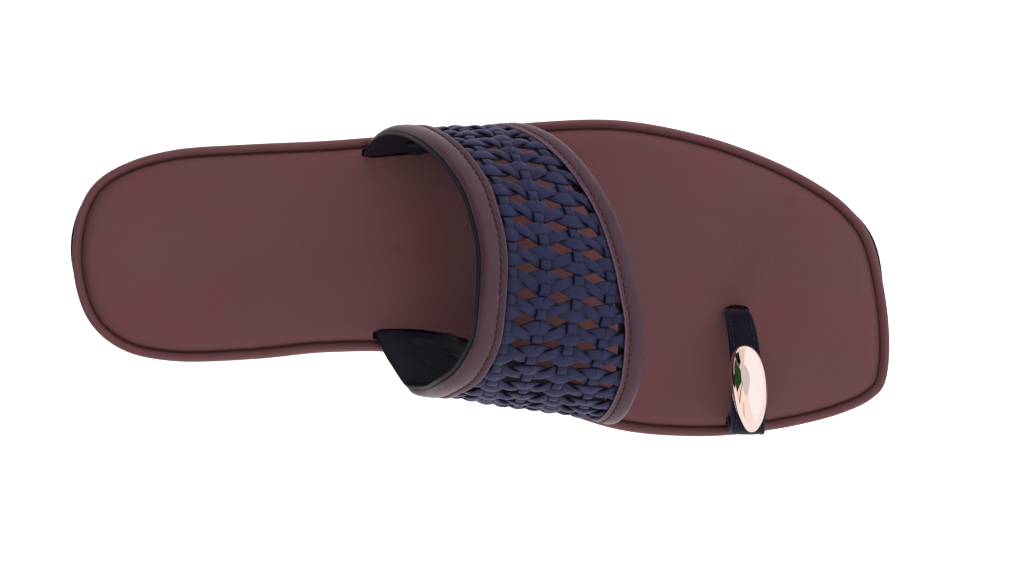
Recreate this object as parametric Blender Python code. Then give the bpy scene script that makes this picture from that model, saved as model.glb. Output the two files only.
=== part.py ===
"""Toe loop sandal, left foot: a wrapped footbed on a rubber outsole, a woven instep band and a toe loop.

Lengths are in millimetres until a mesh is made, and metres from there on.
+X runs to the toe, +Y to the little toe side, +Z up, and the floor is z = 0.
"""

import math

import bmesh
import bpy
from mathutils import Vector

MM = 0.001
CLEARANCE = 0.3
LATERAL = 1
MEDIAL = -1

# Sole sections: x, lateral and medial edge of the rim, then heights of tread, outsole top and rim top
SOLE_COLUMNS = ("x", "lateral", "medial", "tread", "join", "rim")
SOLE_SECTIONS = (
    (-126.0, 7.5, 7.5, 2.5, 15.5, 29.5),
    (-121.0, 27.0, -13.0, 1.2, 15.2, 29.4),
    (-108.5, 36.0, -23.0, 0.0, 14.8, 29.0),
    (-96.0, 39.5, -25.5, 0.0, 14.5, 28.7),
    (-71.0, 41.5, -25.0, 0.0, 14.0, 28.2),
    (-46.5, 42.7, -22.8, 1.6, 13.6, 27.2),
    (-25.0, 44.5, -23.3, 3.6, 13.0, 25.8),
    (-6.0, 46.3, -28.8, 3.6, 12.0, 24.0),
    (19.0, 48.9, -39.2, 1.6, 9.6, 21.6),
    (41.0, 49.6, -46.8, 0.0, 8.0, 20.4),
    (66.0, 45.6, -49.4, 0.0, 7.4, 20.0),
    (91.0, 37.1, -47.4, 0.0, 7.4, 20.2),
    (103.0, 31.0, -45.0, 0.9, 8.2, 20.8),
    (115.5, 21.7, -41.1, 2.6, 9.8, 21.9),
    (122.0, 12.2, -37.6, 4.0, 11.2, 22.8),
    (126.4, -6.7, -31.7, 5.0, 12.2, 23.3),
    (127.5, -21.0, -21.0, 5.4, 12.5, 23.5),
)
HEEL_X = SOLE_SECTIONS[0][0]
TOE_X = SOLE_SECTIONS[-1][0]
OUTLINE_STATIONS = 28

# How far the outsole stands out past the rim: all round, then more near two spots, out to a radius
OUTSOLE_EDGE = 0.4
HEEL_FLARE = 3.1
HEEL_FLARE_SPOT = (-126.0, 11.5)
HEEL_FLARE_RADIUS = 46.0
TOE_FLARE = 1.9
TOE_FLARE_SPOT = (121.0, 14.0)
TOE_FLARE_RADIUS = 30.0

# Side profiles from the bottom up: a named line of the sole, distance in from the edge, rise above the line
OUTSOLE_SIDE = (
    ("tread", 2.2, 0.0),
    ("tread", 0.9, 1.3),
    ("join", 0.2, -3.6),
    ("join", 0.6, -3.0),
    ("join", 0.6, -2.6),
    ("join", 0.0, -2.0),
    ("join", 0.0, -0.6),
    ("join", 0.7, 0.0),
)
MIDSOLE_SIDE = (
    ("join", 1.5, 0.3),
    ("join", 0.3, 2.2),
    ("rim", 0.0, -5.0),
    ("rim", 0.0, -2.6),
    ("rim", 0.5, -0.9),
    ("rim", 1.25, -0.1),
    ("rim", 2.0, -0.6),
    ("rim", 2.5, -1.9),
    ("rim", 2.6, -3.0),
)
INSOLE_SIDE = (
    ("rim", 3.3, -2.7),
    ("rim", 3.3, -1.9),
    ("rim", 3.9, -0.8),
    ("rim", 5.0, 0.2),
    ("rim", 7.0, 0.9),
)

# Footbed shape inside its crowned edge: depth of the dish and lift under the arch
FOOTBED_COLUMNS = ("x", "dish", "arch_lift")
FOOTBED_SECTIONS = (
    (-120.0, 1.2, 0.0),
    (-90.0, 2.4, 0.0),
    (-50.0, 1.4, 1.2),
    (-15.0, 0.2, 2.0),
    (20.0, -0.4, 0.8),
    (60.0, 0.6, 0.0),
    (110.0, 0.4, 0.0),
)
FOOTBED_STRIPS = 7
ARCH_SHARPNESS = 2.6

# Grooves across the tread: first and last x of each group, and their number
TREAD_GROOVES = ((-108.0, -64.0, 5), (36.0, 96.0, 7))
GROOVE_WIDTH = 2.6
GROOVE_DEPTH = 1.6
GROOVE_LENGTH = 130.0

# Slots beside the insole, where the legs of band and loop go down
SLOT_OUTER = 2.85
SLOT_INNER = 6.5
SLOT_DEPTH = 7.5
SLOT_ROOF = 8.0
SLOT_STEP = 6.0
SLOT_END_GAP = 0.6
SLOT_ROWS = 1.5
FOOT_GAP = 0.6

# Band sections: x, widest point and its height at each side, and the ridge over the instep
BAND_COLUMNS = ("x", "lateral_y", "lateral_z", "ridge_y", "ridge_z", "medial_y", "medial_z")
BAND_SECTIONS = (
    (-40.0, 41.9, 44.0, 1.0, 103.0, -30.6, 42.0),
    (-25.0, 42.8, 43.0, 0.8, 97.5, -31.7, 41.0),
    (-10.0, 43.4, 42.0, 0.5, 91.5, -33.3, 40.0),
    (5.0, 43.8, 41.0, 0.0, 84.5, -36.1, 38.5),
    (20.0, 43.8, 39.5, -1.5, 78.0, -38.2, 37.0),
    (35.0, 43.4, 38.0, -4.0, 71.0, -40.6, 35.0),
    (52.0, 42.0, 36.0, -7.0, 63.0, -43.2, 33.0),
)
LATERAL_POWER = 1.75
MEDIAL_POWER = 2.0
FOOT_INSET = 6.2
BAND_SLOPE = 1.07

# Band edges: rows of the weave from the lateral foot, and x of both edges and of a column of the weave
EDGE_COLUMNS = ("row", "rear", "column", "front")
EDGE_ROWS = (
    (0.0, -37.0, -5.0, 0.0),
    (2.0, -33.4, -1.0, 5.5),
    (4.0, -24.0, 3.0, 14.0),
    (6.0, -16.6, 7.0, 24.4),
    (8.0, -9.2, 12.0, 33.6),
    (10.0, -3.2, 16.3, 40.5),
    (12.6, 0.4, 18.7, 45.5),
    (15.0, -0.6, 17.0, 48.0),
    (17.0, -5.0, 14.6, 47.6),
    (19.0, -12.0, 12.8, 45.4),
    (21.0, -17.0, 11.8, 42.6),
    (22.5, -24.0, 11.0, 40.4),
    (24.0, -31.4, 9.5, 38.0),
    (25.5, -34.5, 8.0, 35.6),
)
BAND_ROWS = EDGE_ROWS[-1][0]
RIDGE_ROW = 13.2
ROW_PITCH = 7.0
BAND_STEPS = 38

# Layers of the band, outwards from its inner face
LINING_OUT = 0.5
WALL_IN = 0.9
WALL_OUT = 1.9
LEAF_OUT = 2.5
RIB_OUT = 2.7
BINDING_IN = 2.2
BINDING_OUT = 3.0
REAR_BINDING_WIDTH = 7.4
FRONT_BINDING_WIDTH = 6.2
LINING_WIDTH = 8.0
MARGIN = 1.6

# Weave: four ribs, and between them slanted leaves and rhombic holes, their outlines about their middles
RIB_PITCH = 9.5
RIB_HALF_WIDTH = 1.2
RIBS = (-1, 0, 1, 2)
MIN_RIB = 0.5
WING = ((0.9, RIB_HALF_WIDTH), (2.25, 3.4), (3.1, RIB_HALF_WIDTH))
LEAF = ((-3.4, -2.85), (-0.1, -1.95), (3.4, -0.1), (3.4, 3.3), (-0.2, 1.95), (-3.4, -0.5))
HOLE = ((-3.2, -0.25), (-0.6, -1.25), (3.2, 0.2), (0.2, 1.25))
LEAF_PHASE = 0.22
FIRST_LEAF_ROW = 1.6
LAST_LEAF_ROW = 23.6
FIRST_HOLE_ROW = 3.4
LAST_HOLE_ROW = 22.8
STRIP_ROOT = 0.4
END_ROWS = 0.15
LEAF_STUB = 0.8
CURVE_SLACK = 0.1

# Toe loop: its two feet, its widest point outside and its ridge, all on the middle of the strap
LOOP_INNER_X = 79.5
LOOP_OUTER_X = 82.5
LOOP_INNER_Y = -9.6
LOOP_FOOT_INSET = 4.7
LOOP_RIDGE = (-27.0, 46.5)
LOOP_SHOULDER = (-9.2, 24.5)
LOOP_BULGE = (-46.9, 33.5)
LOOP_WIDTHS = (8.4, 9.6, 10.8)
LOOP_HALF_THICKNESS = 1.0
LOOP_STATIONS = 22
LOOP_SLOT = (11.0, 4.4)

# Ornament: an egg that lies along the loop, with its broad end up, and its centre at a fraction of the loop
EGG_LENGTH = 29.4
EGG_HALF_WIDTH = 5.7
EGG_HEIGHT = 3.4
EGG_CENTRE = 0.557
EGG_TILT = 0.6
EGG_TAPER = 0.22


def slopes(xs, ys):
    """Tangents for a curve through the points that never overshoots a flat stretch."""
    steps = [(ys[i + 1] - ys[i]) / (xs[i + 1] - xs[i]) for i in range(len(xs) - 1)]
    inner = [0.0 if a * b <= 0 else 2 * a * b / (a + b) for a, b in zip(steps, steps[1:])]
    return [steps[0]] + inner + [steps[-1]]


def hermite(xs, ys, tangents, x):
    """Cubic through the points, held at its end values outside them."""
    x = min(max(x, xs[0]), xs[-1])
    i = max(k for k in range(len(xs) - 1) if xs[k] <= x)
    h = xs[i + 1] - xs[i]
    t = (x - xs[i]) / h
    start = (1 + 2 * t) * (1 - t) ** 2 * ys[i] + t * (1 - t) ** 2 * h * tangents[i]
    end = t * t * (3 - 2 * t) * ys[i + 1] + t * t * (t - 1) * h * tangents[i + 1]
    return start + end


def table_curve(columns, rows, name):
    """Function for one named column of a table, against its first column."""
    xs = [row[0] for row in rows]
    ys = [row[columns.index(name)] for row in rows]
    tangents = slopes(xs, ys)
    return lambda x: hermite(xs, ys, tangents, x)


heights = {name: table_curve(SOLE_COLUMNS, SOLE_SECTIONS, name) for name in ("tread", "join", "rim")}
footbed = {name: table_curve(FOOTBED_COLUMNS, FOOTBED_SECTIONS, name) for name in ("dish", "arch_lift")}
band = {name: table_curve(BAND_COLUMNS, BAND_SECTIONS, name) for name in BAND_COLUMNS[1:]}
edges = {name: table_curve(EDGE_COLUMNS, EDGE_ROWS, name) for name in EDGE_COLUMNS[1:]}


def turn_of(x):
    """Angle that stands for a station of the outline, 0 at the heel and pi at the toe."""
    part = 2 * (x - HEEL_X) / (TOE_X - HEEL_X)
    return math.acos(min(1.0, max(-1.0, 1 - part)))


def x_of(turn):
    """Station along the sole for a turn angle."""
    return HEEL_X + (TOE_X - HEEL_X) * (1 - math.cos(turn)) / 2


def side_curve(name, other):
    """y of one side of the sole against the turn angle, running on into the other side at both ends."""
    turns = [turn_of(row[0]) for row in SOLE_SECTIONS]
    ys = [row[SOLE_COLUMNS.index(name)] for row in SOLE_SECTIONS]
    far = [row[SOLE_COLUMNS.index(other)] for row in SOLE_SECTIONS]
    long_turns = [-turns[1]] + turns + [2 * math.pi - turns[-2]]
    long_ys = [far[1]] + ys + [far[-2]]
    tangents = []
    for i in range(1, len(long_turns) - 1):
        before = long_turns[i] - long_turns[i - 1]
        after = long_turns[i + 1] - long_turns[i]
        left = (long_ys[i] - long_ys[i - 1]) / before
        right = (long_ys[i + 1] - long_ys[i]) / after
        tangents.append((left * after + right * before) / (before + after))
    return lambda turn: hermite(turns, ys, tangents, turn)


side_curves = {LATERAL: side_curve("lateral", "medial"), MEDIAL: side_curve("medial", "lateral")}


def side_y(side, x):
    """Edge of the rim at x."""
    return side_curves[side](turn_of(x))


def inset_y(side, x, inset):
    """y of a line that runs inside the rim's edge at a constant distance."""
    slope = side_y(side, x + 0.5) - side_y(side, x - 0.5)
    return side_y(side, x) - side * inset * math.hypot(1, slope)


def outline():
    """Points of the rim's edge, from the heel round the lateral side to the toe and back."""
    points = []
    for i in range(OUTLINE_STATIONS):
        turn = math.pi * i / OUTLINE_STATIONS
        points.append(Vector((x_of(turn), side_curves[LATERAL](turn))))
    for i in range(OUTLINE_STATIONS):
        turn = math.pi * (1 - i / OUTLINE_STATIONS)
        points.append(Vector((x_of(turn), side_curves[MEDIAL](turn))))
    return points


def inset_ring(points, inset):
    """The outline moved inwards, by one distance or by a function of the point."""
    ring = []
    for i, point in enumerate(points):
        run = (points[(i + 1) % len(points)] - points[i - 1]).normalized()
        inward = Vector((run.y, -run.x))
        ring.append(point + inward * (inset(point) if callable(inset) else inset))
    return ring


def outsole_reach(point):
    """How far the outsole stands out past the rim beside a point of the outline."""
    heel = max(0.0, 1 - math.dist(point, HEEL_FLARE_SPOT) / HEEL_FLARE_RADIUS)
    toe = max(0.0, 1 - math.dist(point, TOE_FLARE_SPOT) / TOE_FLARE_RADIUS)
    return OUTSOLE_EDGE + HEEL_FLARE * heel * heel + TOE_FLARE * toe


def footbed_z(x, across):
    """Top of the insole inside its crowned edge, across running from -1 medial to 1 lateral."""
    bowl = 1 - across * across
    lift = footbed["arch_lift"](x) * max(0.0, -across) * bowl * ARCH_SHARPNESS
    return heights["rim"](x) + INSOLE_SIDE[-1][2] - footbed["dish"](x) * bowl + lift


def make_collection(name):
    """New collection in the scene."""
    collection = bpy.data.collections.new(name)
    bpy.context.scene.collection.children.link(collection)
    return collection


def make_material(name, colour, roughness, metallic=0.0):
    """Plain material of one colour."""
    material = bpy.data.materials.new(name)
    material.use_nodes = True
    shader = material.node_tree.nodes["Principled BSDF"]
    shader.inputs["Base Color"].default_value = (*colour, 1.0)
    shader.inputs["Roughness"].default_value = roughness
    shader.inputs["Metallic"].default_value = metallic
    return material


def finish_object(name, bm, collection, material=None, scale=MM, smooth_angle=40):
    """Object from a bmesh in millimetres, with its faces turned out."""
    bmesh.ops.recalc_face_normals(bm, faces=bm.faces[:])
    if bm.calc_volume(signed=True) < 0:
        bmesh.ops.reverse_faces(bm, faces=bm.faces[:])
    bmesh.ops.scale(bm, vec=(scale, scale, scale), verts=bm.verts[:])
    mesh = bpy.data.meshes.new(name)
    bm.to_mesh(mesh)
    bm.free()
    mesh.shade_smooth()
    mesh.set_sharp_from_angle(angle=math.radians(smooth_angle))
    new_object = bpy.data.objects.new(name, mesh)
    collection.objects.link(new_object)
    if material:
        mesh.materials.append(material)
    return new_object


def loft(bm, rings):
    """Quads between closed rings of points; the rings' vertices are returned."""
    rows = [[bm.verts.new(point) for point in ring] for ring in rings]
    for low, high in zip(rows, rows[1:]):
        count = len(low)
        for i in range(count):
            j = (i + 1) % count
            bm.faces.new((low[i], low[j], high[j], high[i]))
    return rows


def ladder(bm, ring, strips=1, height=None):
    """Cap over a ring of the outline: strips across it, on a height function of x and side."""
    count = len(ring)
    rows = [[ring[0]] * (strips + 1)]
    for i in range(1, count // 2):
        lateral, medial = ring[i], ring[count - i]
        row = [lateral]
        for j in range(1, strips):
            spot = lateral.co.lerp(medial.co, j / strips)
            spot.z = height(spot.x, 1 - 2 * j / strips)
            row.append(bm.verts.new(spot))
        rows.append(row + [medial])
    rows.append([ring[count // 2]] * (strips + 1))
    for near, far in zip(rows, rows[1:]):
        for j in range(strips):
            corners = []
            for vert in (near[j], near[j + 1], far[j + 1], far[j]):
                if vert not in corners:
                    corners.append(vert)
            bm.faces.new(corners)


def sole_layer(name, profile, collection, material, reach=None, strips=1, top=None):
    """Layer of the sole: its side profile run round the outline, with a cap below and above."""
    edge = outline()
    if reach:
        edge = inset_ring(edge, lambda point: -reach(point))
    bm = bmesh.new()
    rings = []
    for line, inset, rise in profile:
        ring = inset_ring(edge, inset)
        rings.append([(p.x, p.y, heights[line](p.x) + rise) for p in ring])
    rows = loft(bm, rings)
    ladder(bm, rows[0])
    ladder(bm, rows[-1], strips, top)
    return finish_object(name, bm, collection, material)


def add_cutter(name, bm, collection):
    """Closed tool for a Boolean, left out of the picture."""
    tool = finish_object(name, bm, collection)
    tool.hide_render = True
    tool.display_type = "WIRE"
    return tool


def cut(target, tool):
    """Difference that stays on its object as a modifier."""
    modifier = target.modifiers.new(tool.name, "BOOLEAN")
    modifier.operation = "DIFFERENCE"
    modifier.solver = "EXACT"
    modifier.object = tool


def slot_cutter(name, side, first_x, last_x, collection):
    """Slot that follows the rim between two stations, open at the top."""
    bm = bmesh.new()
    steps = max(2, round((last_x - first_x) / SLOT_STEP))
    rings = []
    for i in range(steps + 1):
        x = first_x + (last_x - first_x) * i / steps
        floor = heights["rim"](x) - SLOT_DEPTH
        roof = heights["rim"](x) + SLOT_ROOF
        inner, outer = inset_y(side, x, SLOT_INNER), inset_y(side, x, SLOT_OUTER)
        rings.append([(x, inner, floor), (x, outer, floor), (x, outer, roof), (x, inner, roof)])
    rows = loft(bm, rings)
    bm.faces.new(rows[0])
    bm.faces.new(rows[-1])
    return add_cutter(name, bm, collection)


def box_cutter(name, centre, size, collection):
    """Box as a cutter."""
    bm = bmesh.new()
    bmesh.ops.create_cube(bm, size=1.0)
    bmesh.ops.scale(bm, vec=size, verts=bm.verts[:])
    bmesh.ops.translate(bm, vec=centre, verts=bm.verts[:])
    return add_cutter(name, bm, collection)


def arch(foot, lean_z, wide, ridge, power):
    """Half of a bow as (y, z) points: up from its foot, out to its widest point, over to its ridge."""
    points = [foot]
    for i in range(9):
        t = i / 9
        ease = t * t * (3 - 2 * t)
        points.append((foot[0] + (wide[0] - foot[0]) * ease, lean_z + (wide[1] - lean_z) * t))
    for i in range(25):
        angle = math.pi / 2 * i / 24
        out = math.cos(angle) ** (2 / power) if i < 24 else 0.0
        rise = math.sin(angle) ** (2 / power)
        points.append((ridge[0] + (wide[0] - ridge[0]) * out, wide[1] + (ridge[1] - wide[1]) * rise))
    return points


def along(points, part):
    """Point at a fraction of the length of a polyline."""
    lengths = [0.0]
    for a, b in zip(points, points[1:]):
        lengths.append(lengths[-1] + math.dist(a, b))
    target = part * lengths[-1]
    i = max(k for k in range(len(points) - 1) if lengths[k] <= target)
    t = (target - lengths[i]) / (lengths[i + 1] - lengths[i])
    return tuple(a + (b - a) * t for a, b in zip(points[i], points[i + 1]))


def band_half(side, x):
    """Inner face of the band at x, from one foot up to the ridge."""
    name = "lateral" if side == LATERAL else "medial"
    rim = heights["rim"](x)
    foot = (inset_y(side, x, FOOT_INSET), rim - SLOT_DEPTH + FOOT_GAP)
    wide = (band[name + "_y"](x), band[name + "_z"](x))
    ridge = (band["ridge_y"](x), band["ridge_z"](x))
    return arch(foot, rim + 0.3, wide, ridge, LATERAL_POWER if side == LATERAL else MEDIAL_POWER)


def band_face(x, row):
    """Point of the band's inner face, rows counted from the lateral foot to the medial one."""
    if row <= RIDGE_ROW:
        y, z = along(band_half(LATERAL, x), row / RIDGE_ROW)
    else:
        y, z = along(band_half(MEDIAL, x), (BAND_ROWS - row) / (BAND_ROWS - RIDGE_ROW))
    return Vector((x, y, z))


def band_point(x, row, out):
    """Point at a distance out from the band's inner face."""
    low, high = max(row - 0.1, 0.0), min(row + 0.1, BAND_ROWS)
    run = band_face(x, high) - band_face(x, low)
    slant = band_face(x + 0.5, row) - band_face(x - 0.5, row)
    return band_face(x, row) + run.cross(slant).normalized() * out


def edge_x(name, row, inset):
    """x of a line that follows one edge of the band at a distance inside it."""
    slope = (edges[name](row + 0.2) - edges[name](row - 0.2)) / (0.4 * ROW_PITCH)
    step = inset * math.hypot(1, slope) / BAND_SLOPE
    return edges[name](row) + (step if name == "rear" else -step)


def band_stations():
    """Rows at which the band's wall, bindings and linings all have their sections."""
    return [BAND_ROWS * i / BAND_STEPS for i in range(BAND_STEPS + 1)]


def band_strip(name, edge, section, collection, material):
    """Strip that runs along one edge of the band, its section as (inset, out) points."""
    bm = bmesh.new()
    rings = []
    for row in band_stations():
        rings.append([band_point(edge_x(edge, row, inset), row, out) for inset, out in section])
    rows = loft(bm, rings)
    bm.faces.new(rows[0])
    bm.faces.new(rows[-1])
    return finish_object(name, bm, collection, material)


def binding_section(width):
    """Leather folded down over the edge of the weave and stitched flat beside it."""
    return (
        (0.2, WALL_IN),
        (0.0, 1.6),
        (0.3, 2.5),
        (1.2, BINDING_OUT),
        (width - 1.0, BINDING_OUT),
        (width, BINDING_OUT - 0.4),
        (width, BINDING_IN),
        (MARGIN - CLEARANCE, BINDING_IN),
        (MARGIN - CLEARANCE, WALL_IN),
    )


def lining_section():
    """Thin strip inside the edge of the weave."""
    return ((0.0, 0.0), (0.0, LINING_OUT), (LINING_WIDTH, LINING_OUT), (LINING_WIDTH, 0.0))


def flat_prism(bm, points, low, high):
    """Closed prism on a flat outline, in the weave's own plane."""
    bottom = [bm.verts.new((u, v, low)) for u, v in points]
    top = [bm.verts.new((u, v, high)) for u, v in points]
    count = len(points)
    bm.faces.new(list(reversed(bottom)))
    bm.faces.new(top)
    for i in range(count):
        j = (i + 1) % count
        bm.faces.new((bottom[i], bottom[j], top[j], top[i]))


def weave_u(x, row):
    """Place across the flat weave for a place on the band."""
    return x - edges["column"](row)


def open_zone(row):
    """Both sides of the weave that shows between the bindings, in the flat weave."""
    rear = edge_x("rear", row, REAR_BINDING_WIDTH + CLEARANCE)
    front = edge_x("front", row, FRONT_BINDING_WIDTH + CLEARANCE)
    return weave_u(rear, row), weave_u(front, row)


def wall_panel(collection):
    """Flat wall of the weave out to both its margins."""
    bm = bmesh.new()
    rings = []
    for row in band_stations():
        lines = [edge_x("rear", row, inset) for inset in (MARGIN, REAR_BINDING_WIDTH + 1)]
        lines += [edge_x("front", row, inset) for inset in (FRONT_BINDING_WIDTH + 1, MARGIN)]
        lines.insert(2, (lines[1] + lines[2]) / 2)
        across = [weave_u(x, row) for x in lines]
        v = row * ROW_PITCH
        rings.append([(u, v, WALL_IN) for u in across] + [(u, v, WALL_OUT) for u in reversed(across)])
    rows = loft(bm, rings)
    bm.faces.new(rows[0])
    bm.faces.new(rows[-1])
    return finish_object("wall_panel", bm, collection, scale=1.0)


def clamp_u(u, row):
    """Place across the weave, kept between the bindings."""
    low, high = open_zone(row)
    return min(max(u, low), high)


def rib_outline(rib):
    """Outline of one rib, with the wings that spread from it once a row, as far as it shows."""
    lead = -1 if rib % 2 == 0 else 1
    left, right = [], []
    for k in range(round(BAND_ROWS)):
        middle = (k + LEAF_PHASE) * ROW_PITCH
        for v, reach in sorted((middle + lead * rise, reach) for rise, reach in WING):
            row = v / ROW_PITCH
            bar = [clamp_u(rib * RIB_PITCH + turn * RIB_HALF_WIDTH, row) for turn in (-1, 1)]
            if bar[1] - bar[0] > MIN_RIB and END_ROWS < row < BAND_ROWS - END_ROWS:
                left.append((clamp_u(rib * RIB_PITCH - reach, row), v))
                right.append((clamp_u(rib * RIB_PITCH + reach, row), v))
    return right + left[::-1]


def leaf_shows(leaf, middle):
    """Whether over half of a leaf clears the bindings, and no side of it cuts their curve."""
    reach = [u for u, v in leaf]
    if min(reach) > middle - LEAF_STUB or max(reach) < middle + LEAF_STUB:
        return False
    for (u, v), (next_u, next_v) in zip(leaf, leaf[1:] + leaf[:1]):
        half_u, half_v = (u + next_u) / 2, (v + next_v) / 2
        if abs(clamp_u(half_u, half_v / ROW_PITCH) - half_u) > CURVE_SLACK:
            return False
    return True


def weave_strips(collection):
    """Raised ribs and leaves of the weave, still flat and clear of each other."""
    bm = bmesh.new()
    for rib in RIBS:
        flat_prism(bm, rib_outline(rib), WALL_OUT - STRIP_ROOT, RIB_OUT)
    for gap, k in weave_cells():
        row = k + LEAF_PHASE
        leaf = [(clamp_u(u, v / ROW_PITCH), v) for u, v in place_shape(LEAF, gap, row)]
        if FIRST_LEAF_ROW < row < LAST_LEAF_ROW and leaf_shows(leaf, (gap + 0.5) * RIB_PITCH):
            flat_prism(bm, leaf, WALL_OUT - STRIP_ROOT, LEAF_OUT)
    return finish_object("weave_strips", bm, collection, scale=1.0)


def weave_cells():
    """Each gap between ribs, numbered by the rib behind it, with each row."""
    gaps = (RIBS[0] - 1, *RIBS)
    return [(gap, k) for gap in gaps for k in range(round(BAND_ROWS))]


def place_shape(shape, gap, row):
    """Leaf or hole in the flat weave, turned over in every second gap."""
    turn = -1 if gap % 2 == 0 else 1
    middle = (gap + 0.5) * RIB_PITCH
    points = [(middle + turn * u, row * ROW_PITCH + v) for u, v in shape]
    return points[::turn]


def weave_holes(collection):
    """Rhombic holes between the leaves, as prisms through the wall."""
    bm = bmesh.new()
    for gap, k in weave_cells():
        row = k + LEAF_PHASE + 0.5
        points = place_shape(HOLE, gap, row)
        clear = all(clamp_u(u, v / ROW_PITCH) == u for u, v in points)
        if clear and FIRST_HOLE_ROW < row < LAST_HOLE_ROW:
            flat_prism(bm, points, WALL_IN - 1, RIB_OUT + 1)
    return finish_object("weave_holes", bm, collection, scale=1.0)


def bake(target, tools):
    """Mesh of an object with its modifiers applied; the object and its tools are removed."""
    bpy.context.view_layer.update()
    evaluated = target.evaluated_get(bpy.context.evaluated_depsgraph_get())
    mesh = bpy.data.meshes.new_from_object(evaluated)
    bm = bmesh.new()
    bm.from_mesh(mesh)
    bpy.data.meshes.remove(mesh)
    for old in (target, *tools):
        bpy.data.objects.remove(old)
    return bm


def woven_upper(name, collection, material):
    """The band's wall: cut and raised flat, then bent over the instep."""
    panel, strips, holes = wall_panel(collection), weave_strips(collection), weave_holes(collection)
    for tool, operation in ((strips, "UNION"), (holes, "DIFFERENCE")):
        modifier = panel.modifiers.new(tool.name, "BOOLEAN")
        modifier.operation = operation
        modifier.solver = "EXACT"
        modifier.object = tool
    bm = bake(panel, (strips, holes))
    bmesh.ops.triangulate(bm, faces=bm.faces[:])
    for vert in bm.verts:
        u, v, out = vert.co
        row = min(max(v / ROW_PITCH, 0.0), BAND_ROWS)
        vert.co = band_point(edges["column"](row) + u, row, out)
    return finish_object(name, bm, collection, material, smooth_angle=30)


def loop_halves():
    """Middle line of the toe loop's strap as (y, z) points, inner half then outer half, both from the foot."""
    inner_rim, outer_rim = heights["rim"](LOOP_INNER_X), heights["rim"](LOOP_OUTER_X)
    inner_foot = (LOOP_INNER_Y, inner_rim - SLOT_DEPTH + FOOT_GAP)
    outer_foot = (inset_y(MEDIAL, LOOP_OUTER_X, LOOP_FOOT_INSET), outer_rim - SLOT_DEPTH + FOOT_GAP)
    inner = arch(inner_foot, inner_rim, LOOP_SHOULDER, LOOP_RIDGE, 2.0)
    outer = arch(outer_foot, outer_rim + 0.3, LOOP_BULGE, LOOP_RIDGE, 2.0)
    return inner, outer


def loop_point(part, across, out):
    """Point of the toe loop: a fraction of its way from the inner foot, then across and outwards."""
    inner, outer = loop_halves()
    path = inner + outer[-2::-1]
    y, z = along(path, part)
    y_low, z_low = along(path, max(part - 0.01, 0.0))
    y_high, z_high = along(path, min(part + 0.01, 0.999999))
    run = math.dist((y_low, z_low), (y_high, z_high))
    x = LOOP_INNER_X + (LOOP_OUTER_X - LOOP_INNER_X) * part + across
    return Vector((x, y + (z_high - z_low) / run * out, z - (y_high - y_low) / run * out))


def loop_width(part):
    """Width of the toe loop, which grows from the inner foot to the outer one."""
    first, middle, last = LOOP_WIDTHS
    if part < 0.5:
        return first + (middle - first) * part * 2
    return middle + (last - middle) * (part - 0.5) * 2


def toe_loop(name, collection, material):
    """Strap with a raised seam along both edges, bent into a loop for the big toe."""
    bm = bmesh.new()
    rings = []
    for i in range(LOOP_STATIONS + 1):
        part = min(i / LOOP_STATIONS, 0.999999)
        edge = loop_width(part) / 2
        section = (
            (-edge, -LOOP_HALF_THICKNESS),
            (edge, -LOOP_HALF_THICKNESS),
            (edge, 0.5),
            (edge - 0.8, LOOP_HALF_THICKNESS),
            (edge - 1.7, 0.7),
            (0.0, LOOP_HALF_THICKNESS),
            (1.7 - edge, 0.7),
            (0.8 - edge, LOOP_HALF_THICKNESS),
            (-edge, 0.5),
        )
        rings.append([loop_point(part, across, out) for across, out in section])
    rows = loft(bm, rings)
    bm.faces.new(rows[0])
    bm.faces.new(rows[-1])
    return finish_object(name, bm, collection, material)


def loop_length():
    """Length of the toe loop's middle line."""
    return sum(math.dist(a, b) for half in loop_halves() for a, b in zip(half, half[1:]))


def toe_ornament(name, collection, material):
    """Domed egg with a hollow back that follows the loop."""
    half_part = EGG_LENGTH / 2 / loop_length()
    bm = bmesh.new()
    bmesh.ops.create_uvsphere(bm, u_segments=16, v_segments=8, radius=1.0)
    for vert in bm.verts:
        lengthwise, across, up = vert.co.x, vert.co.y, max(vert.co.z, 0.0)
        taper = 1 - EGG_TAPER * lengthwise - EGG_TAPER / 2 * lengthwise * lengthwise
        part = EGG_CENTRE + lengthwise * half_part
        out = LOOP_HALF_THICKNESS + CLEARANCE + up * EGG_HEIGHT
        vert.co = loop_point(part, across * EGG_HALF_WIDTH * taper + EGG_TILT * lengthwise, out)
    bmesh.ops.remove_doubles(bm, verts=bm.verts[:], dist=0.001)
    return finish_object(name, bm, collection, material)


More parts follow.
